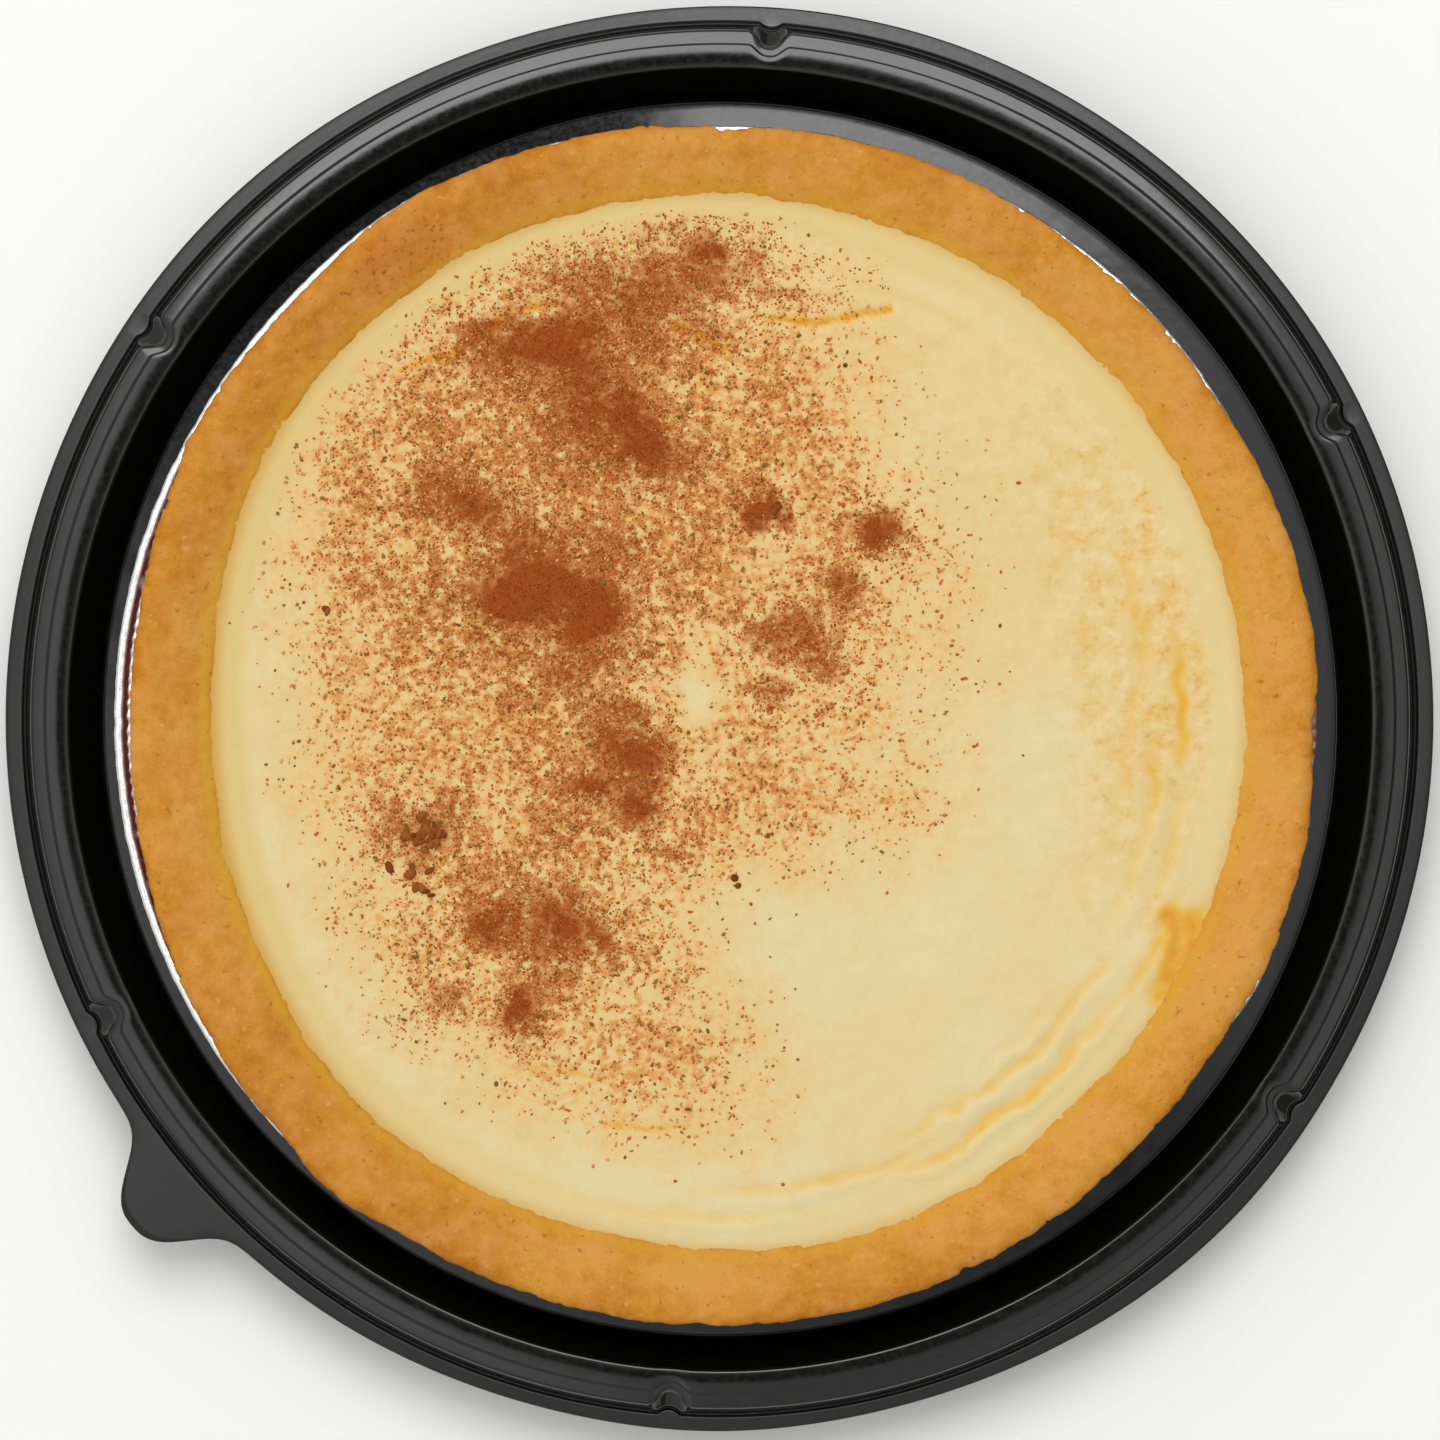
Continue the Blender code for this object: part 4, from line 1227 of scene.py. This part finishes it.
class MILKTART_OT_studio(bpy.types.Operator):
    """Set the pale floor, the soft light and the camera that looks straight down"""
    bl_idname = "milk_tart.studio"
    bl_label = "Studio"

    def execute(self, context):
        options = settings(context, "studio")
        scene = context.scene
        paper, _, _ = new_material(
            "matte_backdrop_paper", Base_Color=(*options.backdrop, 1.0), Roughness=0.9)
        bpy.ops.mesh.primitive_plane_add(size=FLOOR_SIDE, location=(0.0, 0.0, -FLOOR_DROP))
        floor = context.object
        floor.name = "backdrop"
        floor.data.materials.append(paper)
        self.softbox("overhead_softbox", SOFTBOX_PLACE, SOFTBOX_SIDES, options.softbox)
        scene.world = self.room(options)
        lens = bpy.data.cameras.new("camera")
        lens.lens = lens.sensor_width * options.camera_height / options.view_width
        lens.clip_start = 0.05
        camera = bpy.data.objects.new("camera", lens)
        camera.location = (0.0, -0.16 * MM, options.camera_height + LIP_TOP)
        scene.collection.objects.link(camera)
        scene.camera = camera
        scene.view_settings.view_transform = 'Standard'
        return {'FINISHED'}

    def softbox(self, name, place, sides, brightness):
        """An area light that faces the tart, as bright as asked over all its face."""
        data = bpy.data.lights.new(name, 'AREA')
        data.shape = 'RECTANGLE'
        data.size, data.size_y = sides
        data.energy = brightness * math.pi * sides[0] * sides[1]
        lamp = bpy.data.objects.new(name, data)
        lamp.location = place
        lamp.rotation_euler = (-Vector(place)).to_track_quat('-Z', 'Y').to_euler()
        bpy.context.scene.collection.objects.link(lamp)

    def room(self, options):
        """A pale room, lighter overhead on the left, with the camera's stand dark overhead."""
        world = bpy.data.worlds.new("studio_room")
        world.use_nodes = True
        tree = world.node_tree
        way = add_node(tree, "ShaderNodeTexCoord", output="Generated")
        height = add_node(tree, "ShaderNodeSeparateXYZ", {"Vector": way}, 2)
        tilt = add_node(tree, "ShaderNodeVectorMath", {
            0: way, 1: add_node(tree, "ShaderNodeCombineXYZ", {
                "X": height, "Y": height, "Z": height})}, operation='DIVIDE')
        flat = add_node(tree, "ShaderNodeVectorMath", {0: tilt, 1: (1.0, 1.0, 0.0)},
                        operation='MULTIPLY')
        steep = add_node(tree, "ShaderNodeVectorMath", {0: flat}, "Value", operation='LENGTH')
        overhead = add_node(tree, "ShaderNodeMapRange", {
            "Value": steep, "From Min": 0.25, "From Max": 0.55, "To Min": 1.0, "To Max": 0.0})
        across = add_node(tree, "ShaderNodeSeparateXYZ", {"Vector": flat}, 0)
        ahead = add_node(tree, "ShaderNodeSeparateXYZ", {"Vector": flat}, 1)
        lit = 0.0
        for side, start, end, most in (
                (across, 0.0, -0.10, 0.9), (across, 0.08, 0.27, 0.7), (ahead, 0.04, 0.16, 0.5)):
            glow = add_node(tree, "ShaderNodeMapRange", {
                "Value": side, "From Min": start, "From Max": end, "To Max": most})
            lit = add_node(tree, "ShaderNodeMath", {0: glow, 1: lit}, operation='ADD')
        extra = add_node(tree, "ShaderNodeMath", {0: overhead, 1: lit}, operation='MULTIPLY')
        dim = add_node(tree, "ShaderNodeMapRange", {
            "Value": across, "From Min": 0.6, "From Max": 1.0, "To Min": options.room,
            "To Max": 0.2})
        lit = add_node(tree, "ShaderNodeMath", {0: extra, 1: dim}, operation='ADD')
        away = [STAND_AWAY * math.cos(STAND_TURN), STAND_AWAY * math.sin(STAND_TURN), 0.0]
        stand = add_node(tree, "ShaderNodeMapping", {
            "Vector": flat, "Location": away, "Rotation": (0.0, 0.0, STAND_TURN),
            "Scale": (*STAND_HALF_SIDES, 1.0)}, vector_type='TEXTURE')
        from_stand = add_node(tree, "ShaderNodeVectorMath", {0: stand}, "Value",
                              operation='LENGTH')
        open_air = add_node(tree, "ShaderNodeMapRange", {
            "Value": from_stand, "From Min": 0.85, "From Max": 1.15, "To Min": 0.03})
        strength = add_node(tree, "ShaderNodeMath", {0: lit, 1: open_air}, operation='MULTIPLY')
        air = tree.nodes["Background"]
        air.inputs["Color"].default_value = (*linear("F8F8F8"), 1.0)
        tree.links.new(strength, air.inputs["Strength"])
        return world


class MILKTART_PT_panel(bpy.types.Panel):
    """List the pieces and their settings in the 3D view's sidebar"""
    bl_idname = "MILKTART_PT_panel"
    bl_label = "Milk tart"
    bl_space_type = 'VIEW_3D'
    bl_region_type = 'UI'
    bl_category = "Milk tart"

    def draw(self, context):
        for operator, group in STEPS:
            box = self.layout.box()
            box.operator(operator.bl_idname)
            options = settings(context, group)
            for name in options.__annotations__:
                box.prop(options, name)


GROUPS = {
    "pack_base": PackBaseSettings,
    "foil_pan": FoilPanSettings,
    "pastry_case": PastrySettings,
    "custard": CustardSettings,
    "cinnamon": CinnamonSettings,
    "studio": StudioSettings,
}
STEPS = (
    (MILKTART_OT_studio, "studio"),
    (MILKTART_OT_pack_base, "pack_base"),
    (MILKTART_OT_foil_pan, "foil_pan"),
    (MILKTART_OT_pastry_case, "pastry_case"),
    (MILKTART_OT_custard, "custard"),
    (MILKTART_OT_cinnamon, "cinnamon"),
)


def register():
    for name, group in GROUPS.items():
        bpy.utils.register_class(group)
        setattr(bpy.types.Scene, "milk_tart_" + name, PointerProperty(type=group))
    for operator, _ in STEPS:
        bpy.utils.register_class(operator)
    bpy.utils.register_class(MILKTART_PT_panel)


def unregister():
    bpy.utils.unregister_class(MILKTART_PT_panel)
    for operator, _ in reversed(STEPS):
        bpy.utils.unregister_class(operator)
    for name, group in reversed(GROUPS.items()):
        delattr(bpy.types.Scene, "milk_tart_" + name)
        bpy.utils.unregister_class(group)


def main():
    register()
    for operator, _ in STEPS:
        group, name = operator.bl_idname.split(".")
        getattr(getattr(bpy.ops, group), name)()


if __name__ == "__main__":
    main()
